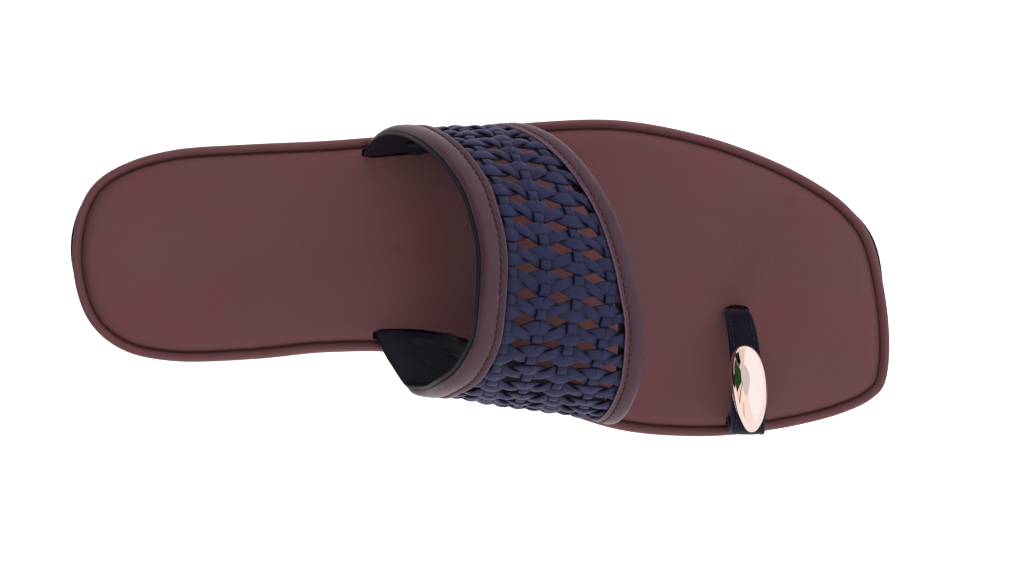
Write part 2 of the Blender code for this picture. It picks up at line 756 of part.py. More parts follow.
def build_sandal():
    """All pieces of the sandal."""
    for old in list(bpy.data.objects):
        bpy.data.objects.remove(old)
    sandal = make_collection("toe_loop_sandal")
    cutters = make_collection("cutters")
    rubber = make_material("black_rubber", (0.012, 0.012, 0.013), 0.6)
    brown = make_material("brown_leather", (0.105, 0.052, 0.048), 0.75)
    trim = make_material("trim_leather", (0.16, 0.08, 0.085), 0.5)
    navy = make_material("navy_leather", (0.045, 0.045, 0.11), 0.45)
    black = make_material("black_lining", (0.01, 0.01, 0.014), 0.6)
    gold = make_material("polished_gold", (0.95, 0.72, 0.55), 0.08, 1.0)

    outsole = sole_layer("outsole", OUTSOLE_SIDE, sandal, rubber, reach=outsole_reach)
    midsole = sole_layer("midsole", MIDSOLE_SIDE, sandal, brown)
    insole = sole_layer("insole", INSOLE_SIDE, sandal, brown, strips=FOOTBED_STRIPS, top=footbed_z)

    for first, last, count in TREAD_GROOVES:
        for i in range(count):
            x = first + (last - first) * i / (count - 1)
            size = (GROOVE_WIDTH, GROOVE_LENGTH, 2 * GROOVE_DEPTH)
            centre = (x, 0.0, heights["tread"](x))
            cut(outsole, box_cutter(f"groove_{x:.0f}", centre, size, cutters))

    slots = []
    feet = ((LATERAL, "lateral", 0.0, SLOT_ROWS), (MEDIAL, "medial", BAND_ROWS, BAND_ROWS - SLOT_ROWS))
    for side, label, foot, top in feet:
        rear = min(edges["rear"](foot), edges["rear"](top)) - SLOT_END_GAP
        front = max(edges["front"](foot), edges["front"](top)) + SLOT_END_GAP
        slots.append(slot_cutter(f"slot_{label}", side, rear, front, cutters))
    half = LOOP_WIDTHS[-1] / 2 + SLOT_END_GAP
    slots.append(slot_cutter("slot_loop_outer", MEDIAL, LOOP_OUTER_X - half, LOOP_OUTER_X + half, cutters))
    rim = heights["rim"](LOOP_INNER_X)
    size = (*LOOP_SLOT, 2 * SLOT_DEPTH)
    slots.append(box_cutter("slot_loop_inner", (LOOP_INNER_X, LOOP_INNER_Y, rim), size, cutters))
    for slot in slots:
        cut(midsole, slot)
        cut(insole, slot)

    woven_upper("woven_upper", sandal, navy)
    band_strip("rear_binding", "rear", binding_section(REAR_BINDING_WIDTH), sandal, trim)
    band_strip("front_binding", "front", binding_section(FRONT_BINDING_WIDTH), sandal, trim)
    band_strip("rear_lining", "rear", lining_section(), sandal, black)
    band_strip("front_lining", "front", lining_section(), sandal, black)
    toe_loop("toe_loop", sandal, navy)
    toe_ornament("toe_ornament", sandal, gold)


build_sandal()
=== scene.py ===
"""Toe loop sandal, left shoe: fine surfaces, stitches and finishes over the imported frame.

Shapes are worked out in millimetres and made in metres: +X to the toe, +Y to the little toe side, +Z up.
"""

import math

import bmesh
import bpy
import numpy as np
from bpy.props import FloatProperty, FloatVectorProperty, IntProperty, PointerProperty
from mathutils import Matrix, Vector, noise


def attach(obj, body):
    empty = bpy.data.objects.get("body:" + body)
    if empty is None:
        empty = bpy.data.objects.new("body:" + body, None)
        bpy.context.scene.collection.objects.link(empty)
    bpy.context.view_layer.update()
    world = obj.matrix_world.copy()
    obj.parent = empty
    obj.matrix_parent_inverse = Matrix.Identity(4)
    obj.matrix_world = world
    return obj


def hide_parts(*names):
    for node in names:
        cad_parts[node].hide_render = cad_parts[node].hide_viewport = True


bl_info = {
    "name": "Toe Loop Sandal",
    "version": (1, 0, 0),
    "blender": (4, 5, 0),
    "location": "3D View > Sidebar > Sandal",
    "description": "Dresses the frame of a woven toe loop sandal with leather, stitches and metal",
    "category": "Object",
}

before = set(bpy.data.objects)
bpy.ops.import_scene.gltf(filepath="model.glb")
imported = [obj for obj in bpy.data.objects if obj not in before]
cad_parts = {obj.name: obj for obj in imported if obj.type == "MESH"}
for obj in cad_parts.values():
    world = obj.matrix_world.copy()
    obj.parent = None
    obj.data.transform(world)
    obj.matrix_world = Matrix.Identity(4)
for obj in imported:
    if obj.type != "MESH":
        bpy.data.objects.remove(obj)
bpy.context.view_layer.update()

MM = 0.001
LATERAL = 1
MEDIAL = -1

# Sole sections: x, lateral and medial edge of the rim, then heights of tread, outsole top and rim top
SOLE_COLUMNS = ("x", "lateral", "medial", "tread", "join", "rim")
SOLE_SECTIONS = (
    (-126.0, 7.5, 7.5, 2.5, 15.5, 29.5),
    (-121.0, 27.0, -13.0, 1.2, 15.2, 29.4),
    (-108.5, 36.0, -23.0, 0.0, 14.8, 29.0),
    (-96.0, 39.5, -25.5, 0.0, 14.5, 28.7),
    (-71.0, 41.5, -25.0, 0.0, 14.0, 28.2),
    (-46.5, 42.7, -22.8, 1.6, 13.6, 27.2),
    (-25.0, 44.5, -23.3, 3.6, 13.0, 25.8),
    (-6.0, 46.3, -28.8, 3.6, 12.0, 24.0),
    (19.0, 48.9, -39.2, 1.6, 9.6, 21.6),
    (41.0, 49.6, -46.8, 0.0, 8.0, 20.4),
    (66.0, 45.6, -49.4, 0.0, 7.4, 20.0),
    (91.0, 37.1, -47.4, 0.0, 7.4, 20.2),
    (103.0, 31.0, -45.0, 0.9, 8.2, 20.8),
    (115.5, 21.7, -41.1, 2.6, 9.8, 21.9),
    (122.0, 12.2, -37.6, 4.0, 11.2, 22.8),
    (126.4, -6.7, -31.7, 5.0, 12.2, 23.3),
    (127.5, -21.0, -21.0, 5.4, 12.5, 23.5),
)
HEEL_X = SOLE_SECTIONS[0][0]
TOE_X = SOLE_SECTIONS[-1][0]
SOLE_STATIONS = 120

# How far the outsole stands out past the rim: all round, then more near two spots, with their spread
OUTSOLE_EDGE = 0.4
HEEL_FLARE = 2.5
HEEL_FLARE_SPOT = (-126.0, 12.5)
HEEL_FLARE_SPREAD = 19.0
TOE_FLARE = 1.75
TOE_FLARE_SPOT = (123.5, 9.5)
TOE_FLARE_SPREAD = 15.0

# Side profiles from the bottom up: share of the way from outsole top to rim top, distance in, rise
MIDSOLE_SIDE = (
    (0.0, 2.2, 0.3), (0.0, 1.0, 0.5), (0.0, 0.45, 1.2), (0.0, 0.15, 3.0), (0.5, 0.0, 0.6),
    (1.0, -0.1, -3.6), (1.0, 0.0, -1.9), (1.0, 0.35, -0.8), (1.0, 0.95, -0.2), (1.0, 1.5, -0.2),
    (1.0, 2.05, -0.6), (1.0, 2.5, -1.2), (1.0, 2.78, -1.75), (1.0, 2.8, -2.6),
)
PAD_SIDE = (
    (1.0, 3.2, -2.8), (1.0, 3.05, -2.2), (1.0, 3.15, -1.75), (1.0, 3.5, -1.15), (1.0, 4.1, -0.35),
    (1.0, 5.0, 0.3), (1.0, 6.3, 0.72), (1.0, 8.0, 0.9),
)
# Outsole side: share of the way from tread to outsole top, distance in, rise
OUTSOLE_SIDE = (
    (0.0, 3.2, 0.7), (0.0, 2.2, 0.05), (0.0, 1.4, 0.25), (0.0, 0.75, 1.1), (1.0, 0.2, -3.9),
    (1.0, 0.2, -3.6), (1.0, 0.6, -3.3), (1.0, 0.65, -2.6), (1.0, 0.1, -2.2), (1.0, 0.0, -1.8),
    (1.0, 0.0, -0.5), (1.0, 0.2, -0.1), (1.0, 1.0, 0.0),
)
PAD_STRIPS = 44

# Footbed shape inside its crowned edge: depth of the dish and lift under the arch
FOOTBED_COLUMNS = ("x", "dish", "arch_lift")
FOOTBED_SECTIONS = (
    (-120.0, 1.2, 0.0), (-90.0, 2.4, 0.0), (-50.0, 1.4, 1.2), (-15.0, 0.2, 2.0), (20.0, -0.4, 0.8),
    (60.0, 0.6, 0.0), (110.0, 0.4, 0.0),
)
ARCH_SHARPNESS = 2.6
BOWL_REACH = 26.0

# Slots beside the insole, where the legs of band and loop go down
SLOT_OUTER = 2.85
SLOT_INNER = 6.5
SLOT_DEPTH = 7.5
SLOT_ROOF = 8.0
SLOT_STEP = 3.0
SLOT_END_GAP = 0.4
SLOT_END_TAPER = 0.45
SLOT_ROWS = 1.5
FOOT_GAP = 0.6
# How far over the rim a leg starts to bow, and the points of a leg and of a bow
LEG_START = 0.3
LEG_POINTS = 24
BOW_POINTS = 72

# Band sections: x, widest point and its height at each side, and the ridge over the instep
BAND_COLUMNS = ("x", "lateral_y", "lateral_z", "ridge_y", "ridge_z", "medial_y", "medial_z")
BAND_SECTIONS = (
    (-40.0, 41.9, 44.0, 1.0, 103.0, -30.6, 42.0),
    (-25.0, 42.8, 43.0, 0.8, 97.5, -31.7, 41.0),
    (-10.0, 43.4, 42.0, 0.5, 91.5, -33.3, 40.0),
    (5.0, 43.8, 41.0, 0.0, 84.5, -36.1, 38.5),
    (20.0, 43.8, 39.5, -1.5, 78.0, -38.2, 37.0),
    (35.0, 43.4, 38.0, -4.0, 71.0, -40.6, 35.0),
    (52.0, 42.0, 36.0, -7.0, 63.0, -43.2, 33.0),
)
LATERAL_POWER = 1.75
MEDIAL_POWER = 2.0
FOOT_INSET = 6.2
FOOT_DRIFT = 3.4
DRIFT_FROM = -38.0
DRIFT_LENGTH = 34.0
BAND_SLOPE = 1.07

# Band edges: rows of the weave from the lateral foot, and x of both edges and of a column of the weave
EDGE_COLUMNS = ("row", "rear", "column", "front")
EDGE_ROWS = (
    (0.0, -36.2, -5.0, 0.0),
    (2.0, -33.4, -1.0, 5.5),
    (4.0, -24.0, 3.0, 14.0),
    (6.0, -16.6, 7.0, 24.4),
    (8.0, -9.2, 12.0, 33.6),
    (10.0, -3.2, 16.3, 40.5),
    (12.6, 0.4, 18.7, 45.5),
    (15.0, -0.6, 17.0, 48.0),
    (17.0, -5.0, 14.6, 47.6),
    (19.0, -12.0, 12.8, 45.4),
    (21.0, -17.0, 11.8, 42.6),
    (22.5, -24.0, 11.0, 40.4),
    (24.0, -30.2, 9.5, 38.0),
    (25.5, -32.8, 8.0, 35.6),
)
BAND_ROWS = EDGE_ROWS[-1][0]
RIDGE_ROW = 13.2
ROW_PITCH = 7.0
COLUMN_PITCH = 9.5
LEAF_PHASE = 0.22
LATTICE_STEP = 1.0
LATTICE_ROWS = 341

# Bindings and linings, their sections as (distance in from the edge, distance out from the inner face)
REAR_BINDING = (
    (0.5, 0.75), (0.12, 1.1), (0.0, 1.7), (0.15, 2.35), (0.7, 2.95), (1.7, 3.4), (3.0, 3.55),
    (4.3, 3.4), (5.1, 3.1), (5.55, 2.9), (5.95, 2.92), (6.35, 3.12), (6.9, 3.3), (7.35, 3.2),
    (7.6, 2.85), (7.55, 2.3), (7.0, 2.0), (3.0, 1.9), (1.6, 1.3), (1.2, 0.75),
)
REAR_SEAM_INSET = 5.75
FRONT_BINDING = (
    (0.5, 0.75), (0.12, 1.1), (0.0, 1.7), (0.15, 2.35), (0.65, 2.95), (1.5, 3.35), (2.5, 3.45),
    (3.5, 3.3), (4.1, 3.05), (4.5, 2.88), (4.85, 2.9), (5.2, 3.08), (5.7, 3.22), (6.1, 3.1),
    (6.35, 2.8), (6.3, 2.3), (5.8, 2.0), (3.0, 1.9), (1.6, 1.3), (1.2, 0.75),
)
FRONT_SEAM_INSET = 4.68
SEAM_OUT = 2.97
SEAM_START = 1.2
SEAM_POINTS = 500
REAR_LINING = (
    (-0.55, 0.1), (-0.95, 0.5), (-0.85, 1.1), (-0.3, 1.4), (0.4, 0.95), (0.9, 0.6), (8.2, 0.6),
    (8.9, 0.45), (9.0, 0.1), (8.5, 0.0), (1.0, 0.0),
)
FRONT_LINING = (
    (0.25, 0.0), (0.0, 0.2), (0.05, 0.5), (0.5, 0.62), (6.6, 0.6), (7.2, 0.45), (7.3, 0.1), (6.8, 0.0),
)
# First and last point of a binding's section between which its faces are the raw cut edge, lighter than the
# grain and with a painted highlight
RAW_EDGE_HIGHLIGHT_POINTS = (13, 16)
# Dark panels inside both legs of the band: rows they reach, margins to the edges, heights of the two faces,
# steps along and across them, and how deep the strands are pressed through
LEG_ROWS = {"lateral": (0.3, 2.2), "medial": (21.8, 25.2)}
LEG_MARGINS = (8.4, 6.9)
LEG_LAYER = (0.3, 0.52)
LEG_STEPS = (48, 90)
LEG_PRESS = 1.1
BINDING_STATIONS = 230
BINDING_START = 0.05

# Weave: how far it runs under the bindings and stops short of the feet in rows, its height over the band's
# inner face, where the bindings lie over it, and how much flatter it is pressed there
WEAVE_MARGIN = 2.6
WEAVE_START = 0.3
WEAVE_MIDDLE = 1.72
WEAVE_COVER = (7.4, 6.2)
PRESSED_REACH = 1.2
PRESSED_SHARE = 0.45
# Steps of one cell of the weave, how far apart its strands lie, and the bars' share of the relief
STRAND_STEPS = 12
BAR_POINTS = 15
STRAND_GAP = 0.05
BAR_RELIEF = 0.9
# Shifts that a hand leaves: seed, length across and along the rows, slice of the noise, and share that lifts
HAND_SEED = 3
HAND_WAVES = (11.0, 5.0)
HAND_SLICE = 2.3
HAND_LIFT = 0.35

# Toe loop: its two feet, its widest point outside and its ridge, all on the middle of the strap
LOOP_INNER_X = 80.0
LOOP_OUTER_X = 82.8
LOOP_LEAN = 1.4
LOOP_INNER_Y = -11.0
LOOP_FOOT_INSET = 4.7
LOOP_RIDGE = (-27.0, 46.5)
LOOP_SHOULDER = (-10.6, 24.5)
LOOP_BULGE = (-46.9, 33.5)
LOOP_POWER = 2.0
LOOP_WIDTHS = (7.4, 9.6, 11.6)
LOOP_STATIONS = 110
LOOP_SLOT = (8.0, 4.4)
LOOP_SLOT_Y = -10.5
OVAL_POINTS = 40
OVAL_FULLNESS = 0.8
LOOP_LAST = 0.999999
# Section of the loop's strap from its underside up, as (distance in from the edge, height), then the share of
# its half width where the flat middle starts, and the middle's height
LOOP_SIDE = (
    (0.3, -1.0), (0.06, -0.8), (0.0, -0.3), (0.0, 0.3), (0.12, 0.75), (0.45, 1.04), (0.85, 1.08),
    (1.2, 0.95), (1.5, 0.84), (1.85, 0.9), (2.3, 1.0),
)
LOOP_FLAT = 0.3
LOOP_CROWN = 1.06
# The loop's seams: distance in from both edges, height, and the shares of its length where they run
LOOP_SEAM = 1.45
LOOP_SEAM_OUT = 0.98
LOOP_SEAM_RUN = (0.1, 0.9)
LOOP_SEAM_POINTS = 300

# How far to both sides of a stitch its direction is measured
SLOPE_REACH = 0.3
# One stitch: rings and sides of its mesh, bow over the leather, sink at its ends, thickness there, rounding
STITCH_RINGS = 7
STITCH_SIDES = 8
STITCH_BOW = 0.32
STITCH_SINK = 0.12
STITCH_END = 0.55
STITCH_ROUNDING = 0.6
# Stitches and pinholes: uneven shares, and how far past its stitch, how deep and how wide a pinhole is
STITCH_UNEVEN = 0.12
PINHOLE_UNEVEN = 0.05
PINHOLE_GAP = 0.12
PINHOLE_SINK = 0.05
PINHOLE_WIDTH = 0.62

# Tread lugs: depth, distance inside the rim, gaps between rows and lugs, and the stations of both fields
LUG_DEPTH = 0.6
LUG_INSET = 5.5
LUG_ROW_GAP = 1.3
LUG_GAP = 1.1
LUG_FIELDS = ((-112.0, -60.0), (34.0, 104.0))

# Ornament: an egg that lies along the loop, with its broad end up, and its centre at a fraction of the loop
EGG_LENGTH = 25.8
EGG_HALF_WIDTH = 5.25
EGG_HEIGHT = 4.3
EGG_LEAN = 0.22
EGG_FULLNESS = 2.3
EGG_CENTRE = 0.547
EGG_TILT = 0.6
EGG_TAPER = 0.22
EGG_BACK = 1.25
EGG_SIDE = 0.5
# Rim round the egg, from its back up to the dome: share of the egg's plan at the plain broad end,
# share where a lip stands out round the narrow end, height over the egg's back
EGG_RIM = (
    (1.005, 1.02, 0.0), (1.012, 1.03, 0.12), (1.01, 1.02, 0.28), (1.006, 0.988, 0.32),
    (1.0, 0.98, 0.44), (0.994, 0.994, 0.56),
)
# How fast the lip grows from the egg's middle towards its narrow end
LIP_GROWTH = 4.0
EGG_SEGMENTS = 120

# Leather and rubber: darkest and lightest share of the dye, roughness, IOR, grain cells, crease width, bump,
# share of fine speckle in the dye and scale of its clouds
FINISHES = {
    "brushed_footbed": ((1.14, 0.86, 0.98), (0.86, 1.14, 1.0), 0.62, 1.25, 2300.0, 0.16, 0.35, 0.62, 40.0),
    "woven_leather": (0.82, 1.15, 0.45, 1.24, 1500.0, 0.1, 0.2, 0.35, 90.0),
    # Dark lower face of the strips, which also paints shade on their cut edges
    "strip_underside_and_edge_shade": (0.8, 1.4, 0.45, 1.2, 1300.0, 0.12, 0.3, 0.5, 60.0),
    "binding_leather": (0.85, 1.15, 0.38, 1.33, 1900.0, 0.09, 0.16, 0.3, 70.0),
    "binding_raw_edge_highlight": (0.85, 1.2, 0.5, 1.3, 1900.0, 0.12, 0.2, 0.5, 60.0),
    "black_lining": (0.8, 1.3, 0.36, 1.3, 1500.0, 0.1, 0.2, 0.5, 60.0),
    "loop_leather": (0.75, 1.25, 0.42, 1.15, 1700.0, 0.1, 0.2, 0.4, 80.0),
    "sole_rubber": (0.8, 1.5, 0.62, 1.35, 900.0, 0.3, 0.25, 0.6, 30.0),
}
# Rubbed edges: share of the dye and the colour that is added to it
WORN = {
    "woven_leather": (1.35, (0.004, 0.004, 0.006)),
    "binding_leather": (1.4, (0.01, 0.01, 0.014)),
    "loop_leather": (2.0, (0.003, 0.003, 0.008)),
}
# Cut edge of the bindings, lighter as raw leather and with a painted highlight: share of their dye and the
# colour that is added to it
RAW_EDGE_HIGHLIGHT_TINT = (2.4, (0.05, 0.045, 0.055))
# Glow at a slant and thin coat of each finish, set on its shader
GLOSS = {
    "brushed_footbed": {"Sheen Weight": 0.03, "Sheen Roughness": 0.35, "Sheen Tint": (0.8, 0.65, 0.75, 1.0)},
    "woven_leather": {"Sheen Weight": 0.3, "Sheen Roughness": 0.3, "Sheen Tint": (0.72, 0.76, 1.0, 1.0)},
    "binding_leather": {
        "Sheen Weight": 0.2,
        "Sheen Roughness": 0.25,
        "Sheen Tint": (0.85, 0.8, 1.0, 1.0),
        "Coat Weight": 0.15,
        "Coat Roughness": 0.24,
    },
    "loop_leather": {"Sheen Weight": 0.12, "Sheen Roughness": 0.25, "Sheen Tint": (0.65, 0.68, 1.0, 1.0)},
}
# Finishes with painted shade in their crevices, with how far a neighbour shades and how strongly
CREVICE_SHADED_FINISHES = ("woven_leather",)
CREVICE_REACH = 0.003
CREVICE_DEPTH = 2.2
# Grain: how far noise bends its cells, how deep its bump goes in metres, and how much duller creases are
GRAIN_PUSH = (0.0009, 0.0009, 0.0009)
GRAIN_DEPTH = 0.0002
CREASE_DULLNESS = 0.2

# Ring of soft boxes round the sandal: azimuth from the toe, elevation, share of the full power
SOFT_BOXES = (
    ("top_box", 0.0, 80.0, 0.95),
    ("toe_box", 0.0, 30.0, 0.2),
    ("toe_lateral_box", 50.0, 32.0, 0.65),
    ("lateral_box", 95.0, 24.0, 1.15),
    ("medial_box", -95.0, 24.0, 1.2),
    ("toe_medial_box", -50.0, 28.0, 0.6),
    ("heel_box", 180.0, 38.0, 0.25),
)
BOX_DISTANCE = 0.9
BOX_SIZE = (0.6, 0.4)
BOX_TARGET = (0.0, 0.0, 0.03)
FLOOR_HALF = 3.0

# Parts of the room that the ornament mirrors: azimuths, elevations, distance and colour
ORNAMENT_SPOT = (0.083, -0.031, 0.047)
REFLECTIONS = (
    ("white_wall", (-62.0, 78.0), (-4.0, 63.0), 0.62, (1.04, 0.98, 1.01)),
    ("grey_ceiling", (0.0, 360.0), (60.0, 89.9), 0.63, (0.66, 0.62, 0.64)),
    ("beige_room", (78.0, 212.0), (-4.0, 62.0), 0.64, (0.8, 0.66, 0.58)),
    ("peach_wall", (212.0, 298.0), (-4.0, 62.0), 0.64, (0.98, 0.84, 0.77)),
    ("green_screen", (152.0, 204.0), (0.0, 68.0), 0.6, (0.02, 0.06, 0.012)),
    ("black_screen", (118.0, 150.0), (0.0, 54.0), 0.6, (0.004, 0.003, 0.003)),
    ("dark_rail", (213.0, 217.0), (0.0, 72.0), 0.59, (0.1, 0.06, 0.04)),
    ("low_dark_rail", (238.0, 242.0), (0.0, 38.0), 0.59, (0.12, 0.07, 0.05)),
)
# Colour and height of the floor that the ornament mirrors
MIRRORED_FLOOR = (0.96, 0.88, 0.88)
MIRRORED_FLOOR_Z = -0.0005


def smooth_curve(xs, ys, tangents):
    """Cubic through the points, for a number or an array, held at its end values outside them."""
    xs, ys, tangents = np.array(xs), np.array(ys), np.array(tangents)

    def curve(x):
        x = np.clip(x, xs[0], xs[-1])
        i = np.clip(np.searchsorted(xs, x, side="right") - 1, 0, len(xs) - 2)
        h = xs[i + 1] - xs[i]
        t = (x - xs[i]) / h
        start = (1 + 2 * t) * (1 - t) ** 2 * ys[i] + t * (1 - t) ** 2 * h * tangents[i]
        end = t * t * (3 - 2 * t) * ys[i + 1] + t * t * (t - 1) * h * tangents[i + 1]
        return start + end

    return curve


def table_curve(columns, rows, name):
    """Function for one named column of a table, against its first column."""
    xs = [row[0] for row in rows]
    ys = [row[columns.index(name)] for row in rows]
    steps = [(ys[i + 1] - ys[i]) / (xs[i + 1] - xs[i]) for i in range(len(xs) - 1)]
    inner = [0.0 if a * b <= 0 else 2 * a * b / (a + b) for a, b in zip(steps, steps[1:])]
    return smooth_curve(xs, ys, [steps[0]] + inner + [steps[-1]])


heights = {name: table_curve(SOLE_COLUMNS, SOLE_SECTIONS, name) for name in ("tread", "join", "rim")}
footbed = {name: table_curve(FOOTBED_COLUMNS, FOOTBED_SECTIONS, name) for name in ("dish", "arch_lift")}
band = {name: table_curve(BAND_COLUMNS, BAND_SECTIONS, name) for name in BAND_COLUMNS[1:]}
edges = {name: table_curve(EDGE_COLUMNS, EDGE_ROWS, name) for name in EDGE_COLUMNS[1:]}


def turn_of(x):
    """Angle that stands for a station of the outline, 0 at the heel and pi at the toe."""
    return np.arccos(np.clip(1 - 2 * (x - HEEL_X) / (TOE_X - HEEL_X), -1, 1))


def x_of(turn):
    """Station along the sole for a turn angle."""
    return HEEL_X + (TOE_X - HEEL_X) * (1 - np.cos(turn)) / 2


def side_curve(name, other):
    """y of one side of the sole against the turn angle, running on into the other side at both ends."""
    turns = [float(turn_of(row[0])) for row in SOLE_SECTIONS]
    ys = [row[SOLE_COLUMNS.index(name)] for row in SOLE_SECTIONS]
    far = [row[SOLE_COLUMNS.index(other)] for row in SOLE_SECTIONS]
    long_turns = [-turns[1]] + turns + [2 * math.pi - turns[-2]]
    long_ys = [far[1]] + ys + [far[-2]]
    tangents = []
    for i in range(1, len(long_turns) - 1):
        before = long_turns[i] - long_turns[i - 1]
        after = long_turns[i + 1] - long_turns[i]
        left = (long_ys[i] - long_ys[i - 1]) / before
        right = (long_ys[i + 1] - long_ys[i]) / after
        tangents.append((left * after + right * before) / (before + after))
    return smooth_curve(turns, ys, tangents)


side_curves = {LATERAL: side_curve("lateral", "medial"), MEDIAL: side_curve("medial", "lateral")}


def inset_y(side, x, inset):
    """y of a line that runs inside the rim's edge at a constant distance."""
    near, far = side_curves[side](turn_of(x - 0.5)), side_curves[side](turn_of(x + 0.5))
    return side_curves[side](turn_of(x)) - side * inset * np.hypot(1, far - near)


def outline():
    """Points of the rim's edge, from the heel round the lateral side to the toe and back."""
    out = math.pi * np.arange(SOLE_STATIONS) / SOLE_STATIONS
    back = math.pi - out
    lateral = np.column_stack((x_of(out), side_curves[LATERAL](out)))
    medial = np.column_stack((x_of(back), side_curves[MEDIAL](back)))
    return np.concatenate((lateral, medial))


def inset_ring(points, inset):
    """The outline moved inwards, by one distance or by one for each point."""
    run = np.roll(points, -1, axis=0) - np.roll(points, 1, axis=0)
    run /= np.hypot(run[:, 0], run[:, 1])[:, None]
    inward = np.column_stack((run[:, 1], -run[:, 0]))
    return points + inward * np.reshape(inset, (-1, 1))


def outsole_reach(points):
    """How far the outsole stands out past the rim beside points of the outline."""
    heel = np.hypot(*(points - HEEL_FLARE_SPOT).T) / HEEL_FLARE_SPREAD
    toe = np.hypot(*(points - TOE_FLARE_SPOT).T) / TOE_FLARE_SPREAD
    return OUTSOLE_EDGE + HEEL_FLARE * np.exp(-heel * heel) + TOE_FLARE * np.exp(-toe * toe)


PAD_RING = inset_ring(outline(), PAD_SIDE[-1][1])


def footbed_z(spot, across):
    """Top of the pad inside its crowned edge, across running from -1 medial to 1 lateral."""
    x = spot.x
    inward = min(1.0, float(np.hypot(PAD_RING[:, 0] - x, PAD_RING[:, 1] - spot.y).min()) / BOWL_REACH)
    bowl = inward * inward * (3 - 2 * inward)
    lift = footbed["arch_lift"](x) * max(0.0, -across) * (1 - across * across) * bowl * ARCH_SHARPNESS
    return float(heights["rim"](x)) + PAD_SIDE[-1][2] - footbed["dish"](x) * bowl + lift


def eased(points, steps):
    """Points on a smooth curve through the given ones, end to end."""
    points = np.array(points)
    last = len(points) - 1
    t = np.linspace(0, last, last * steps + 1)
    i = np.minimum(t.astype(int), last - 1)
    f = (t - i)[:, None]
    before, here = points[np.maximum(i - 1, 0)], points[i]
    there, after = points[i + 1], points[np.minimum(i + 2, last)]
    bend = (2 * before - 5 * here + 4 * there - after) * f * f
    twist = (3 * here - before - 3 * there + after) * f ** 3
    return 0.5 * (2 * here + (there - before) * f + bend + twist)


def placed(name, data):
    """New object of a mesh, light or camera, linked into the scene."""
    made = bpy.data.objects.new(name, data)
    bpy.context.scene.collection.objects.link(made)
    return made


def face_outwards(bm):
    """Turn the faces of a closed form outwards."""
    bmesh.ops.recalc_face_normals(bm, faces=bm.faces[:])
    if bm.calc_volume(signed=True) < 0:
        bmesh.ops.reverse_faces(bm, faces=bm.faces[:])


def mesh_of(name, bm, scale=MM):
    """Mesh in metres from a bmesh, which is freed."""
    bmesh.ops.scale(bm, vec=(scale, scale, scale), verts=bm.verts[:])
    mesh = bpy.data.meshes.new(name)
    bm.to_mesh(mesh)
    bm.free()
    return mesh


def show_piece(name, mesh, slot, replaced=(), sharp=35, materials=()):
    """Object for a finished mesh, smooth but for its sharp edges, riding on the shoe."""
    if not mesh.polygons:
        raise RuntimeError(f"{name} has no faces")
    mesh.shade_smooth()
    mesh.set_sharp_from_angle(angle=math.radians(sharp))
    for material in materials:
        mesh.materials.append(material)
    piece = placed(name, mesh)
    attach(piece, "root")
    if replaced:
        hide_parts(*replaced)
    return piece


def piece_from(name, bm, *rest, **settings):
    """Shown piece from a bmesh in millimetres, with its faces turned out."""
    face_outwards(bm)
    return show_piece(name, mesh_of(name, bm), *rest, **settings)


def loft(bm, rings, closed_ends=False):
    """Quads between closed rings of points; the rings' vertices are returned."""
    rows = [[bm.verts.new(point) for point in ring] for ring in rings]
    for low, high in zip(rows, rows[1:]):
        count = len(low)
        for i in range(count):
            j = (i + 1) % count
            bm.faces.new((low[i], low[j], high[j], high[i]))
    if closed_ends:
        bm.faces.new(rows[0])
        bm.faces.new(rows[-1])
    return rows


def ladder(bm, ring, strips=1, height=None):
    """Cap over a ring of the outline: strips across it, on a height function of x and side."""
    count = len(ring)
    rows = [[ring[0]] * (strips + 1)]
    for i in range(1, count // 2):
        lateral, medial = ring[i], ring[count - i]
        row = [lateral]
        for j in range(1, strips):
            spot = lateral.co.lerp(medial.co, j / strips)
            spot.z = height(spot, 1 - 2 * j / strips)
            row.append(bm.verts.new(spot))
        rows.append(row + [medial])
    rows.append([ring[count // 2]] * (strips + 1))
    for near, far in zip(rows, rows[1:]):
        for j in range(strips):
            corners = []
            for vert in (near[j], near[j + 1], far[j + 1], far[j]):
                if vert not in corners:
                    corners.append(vert)
            bm.faces.new(corners)


def sole_mesh(profile, low, high, steps, reach=0.0, strips=1, top=None):
    """Layer of the sole: its side profile, between two named lines, run round the outline and capped."""
    edge = inset_ring(outline(), -reach)
    bm = bmesh.new()
    rings = []
    for share, inset, rise in eased(profile, steps):
        ring = inset_ring(edge, inset)
        base, roof = heights[low](ring[:, 0]), heights[high](ring[:, 0])
        rings.append(np.column_stack((ring, base + (roof - base) * share + rise)))
    rows = loft(bm, rings)
    ladder(bm, rows[0])
    ladder(bm, rows[-1], strips, top)
    return bm


def arch(foot, lean_z, wide, ridge, power):
    """Half of a bow as (y, z) points: up from its foot, out to its widest point, over to its ridge."""
    t = np.arange(LEG_POINTS) / LEG_POINTS
    ease = t * t * (3 - 2 * t)
    leg = np.column_stack((foot[0] + (wide[0] - foot[0]) * ease, lean_z + (wide[1] - lean_z) * t))
    angle = math.pi / 2 * np.arange(BOW_POINTS + 1) / BOW_POINTS
    out = np.abs(np.cos(angle)) ** (2 / power)
    out[-1] = 0.0
    rise = np.sin(angle) ** (2 / power)
    y = ridge[0] + (wide[0] - ridge[0]) * out
    return np.concatenate(([foot], leg, np.column_stack((y, wide[1] + (ridge[1] - wide[1]) * rise))))


def lengths_along(points):
    """Share of a polyline's length at each of its points."""
    steps = np.hypot(*np.diff(points, axis=0).T)
    return np.concatenate(([0.0], np.cumsum(steps))) / steps.sum()


def foot_drift(side, x):
    """How much further in than on the rim's line the band's medial foot stands."""
    part = min(1.0, max(0.0, (x - DRIFT_FROM) / DRIFT_LENGTH))
    return FOOT_DRIFT * part * part * (3 - 2 * part) if side == MEDIAL else 0.0


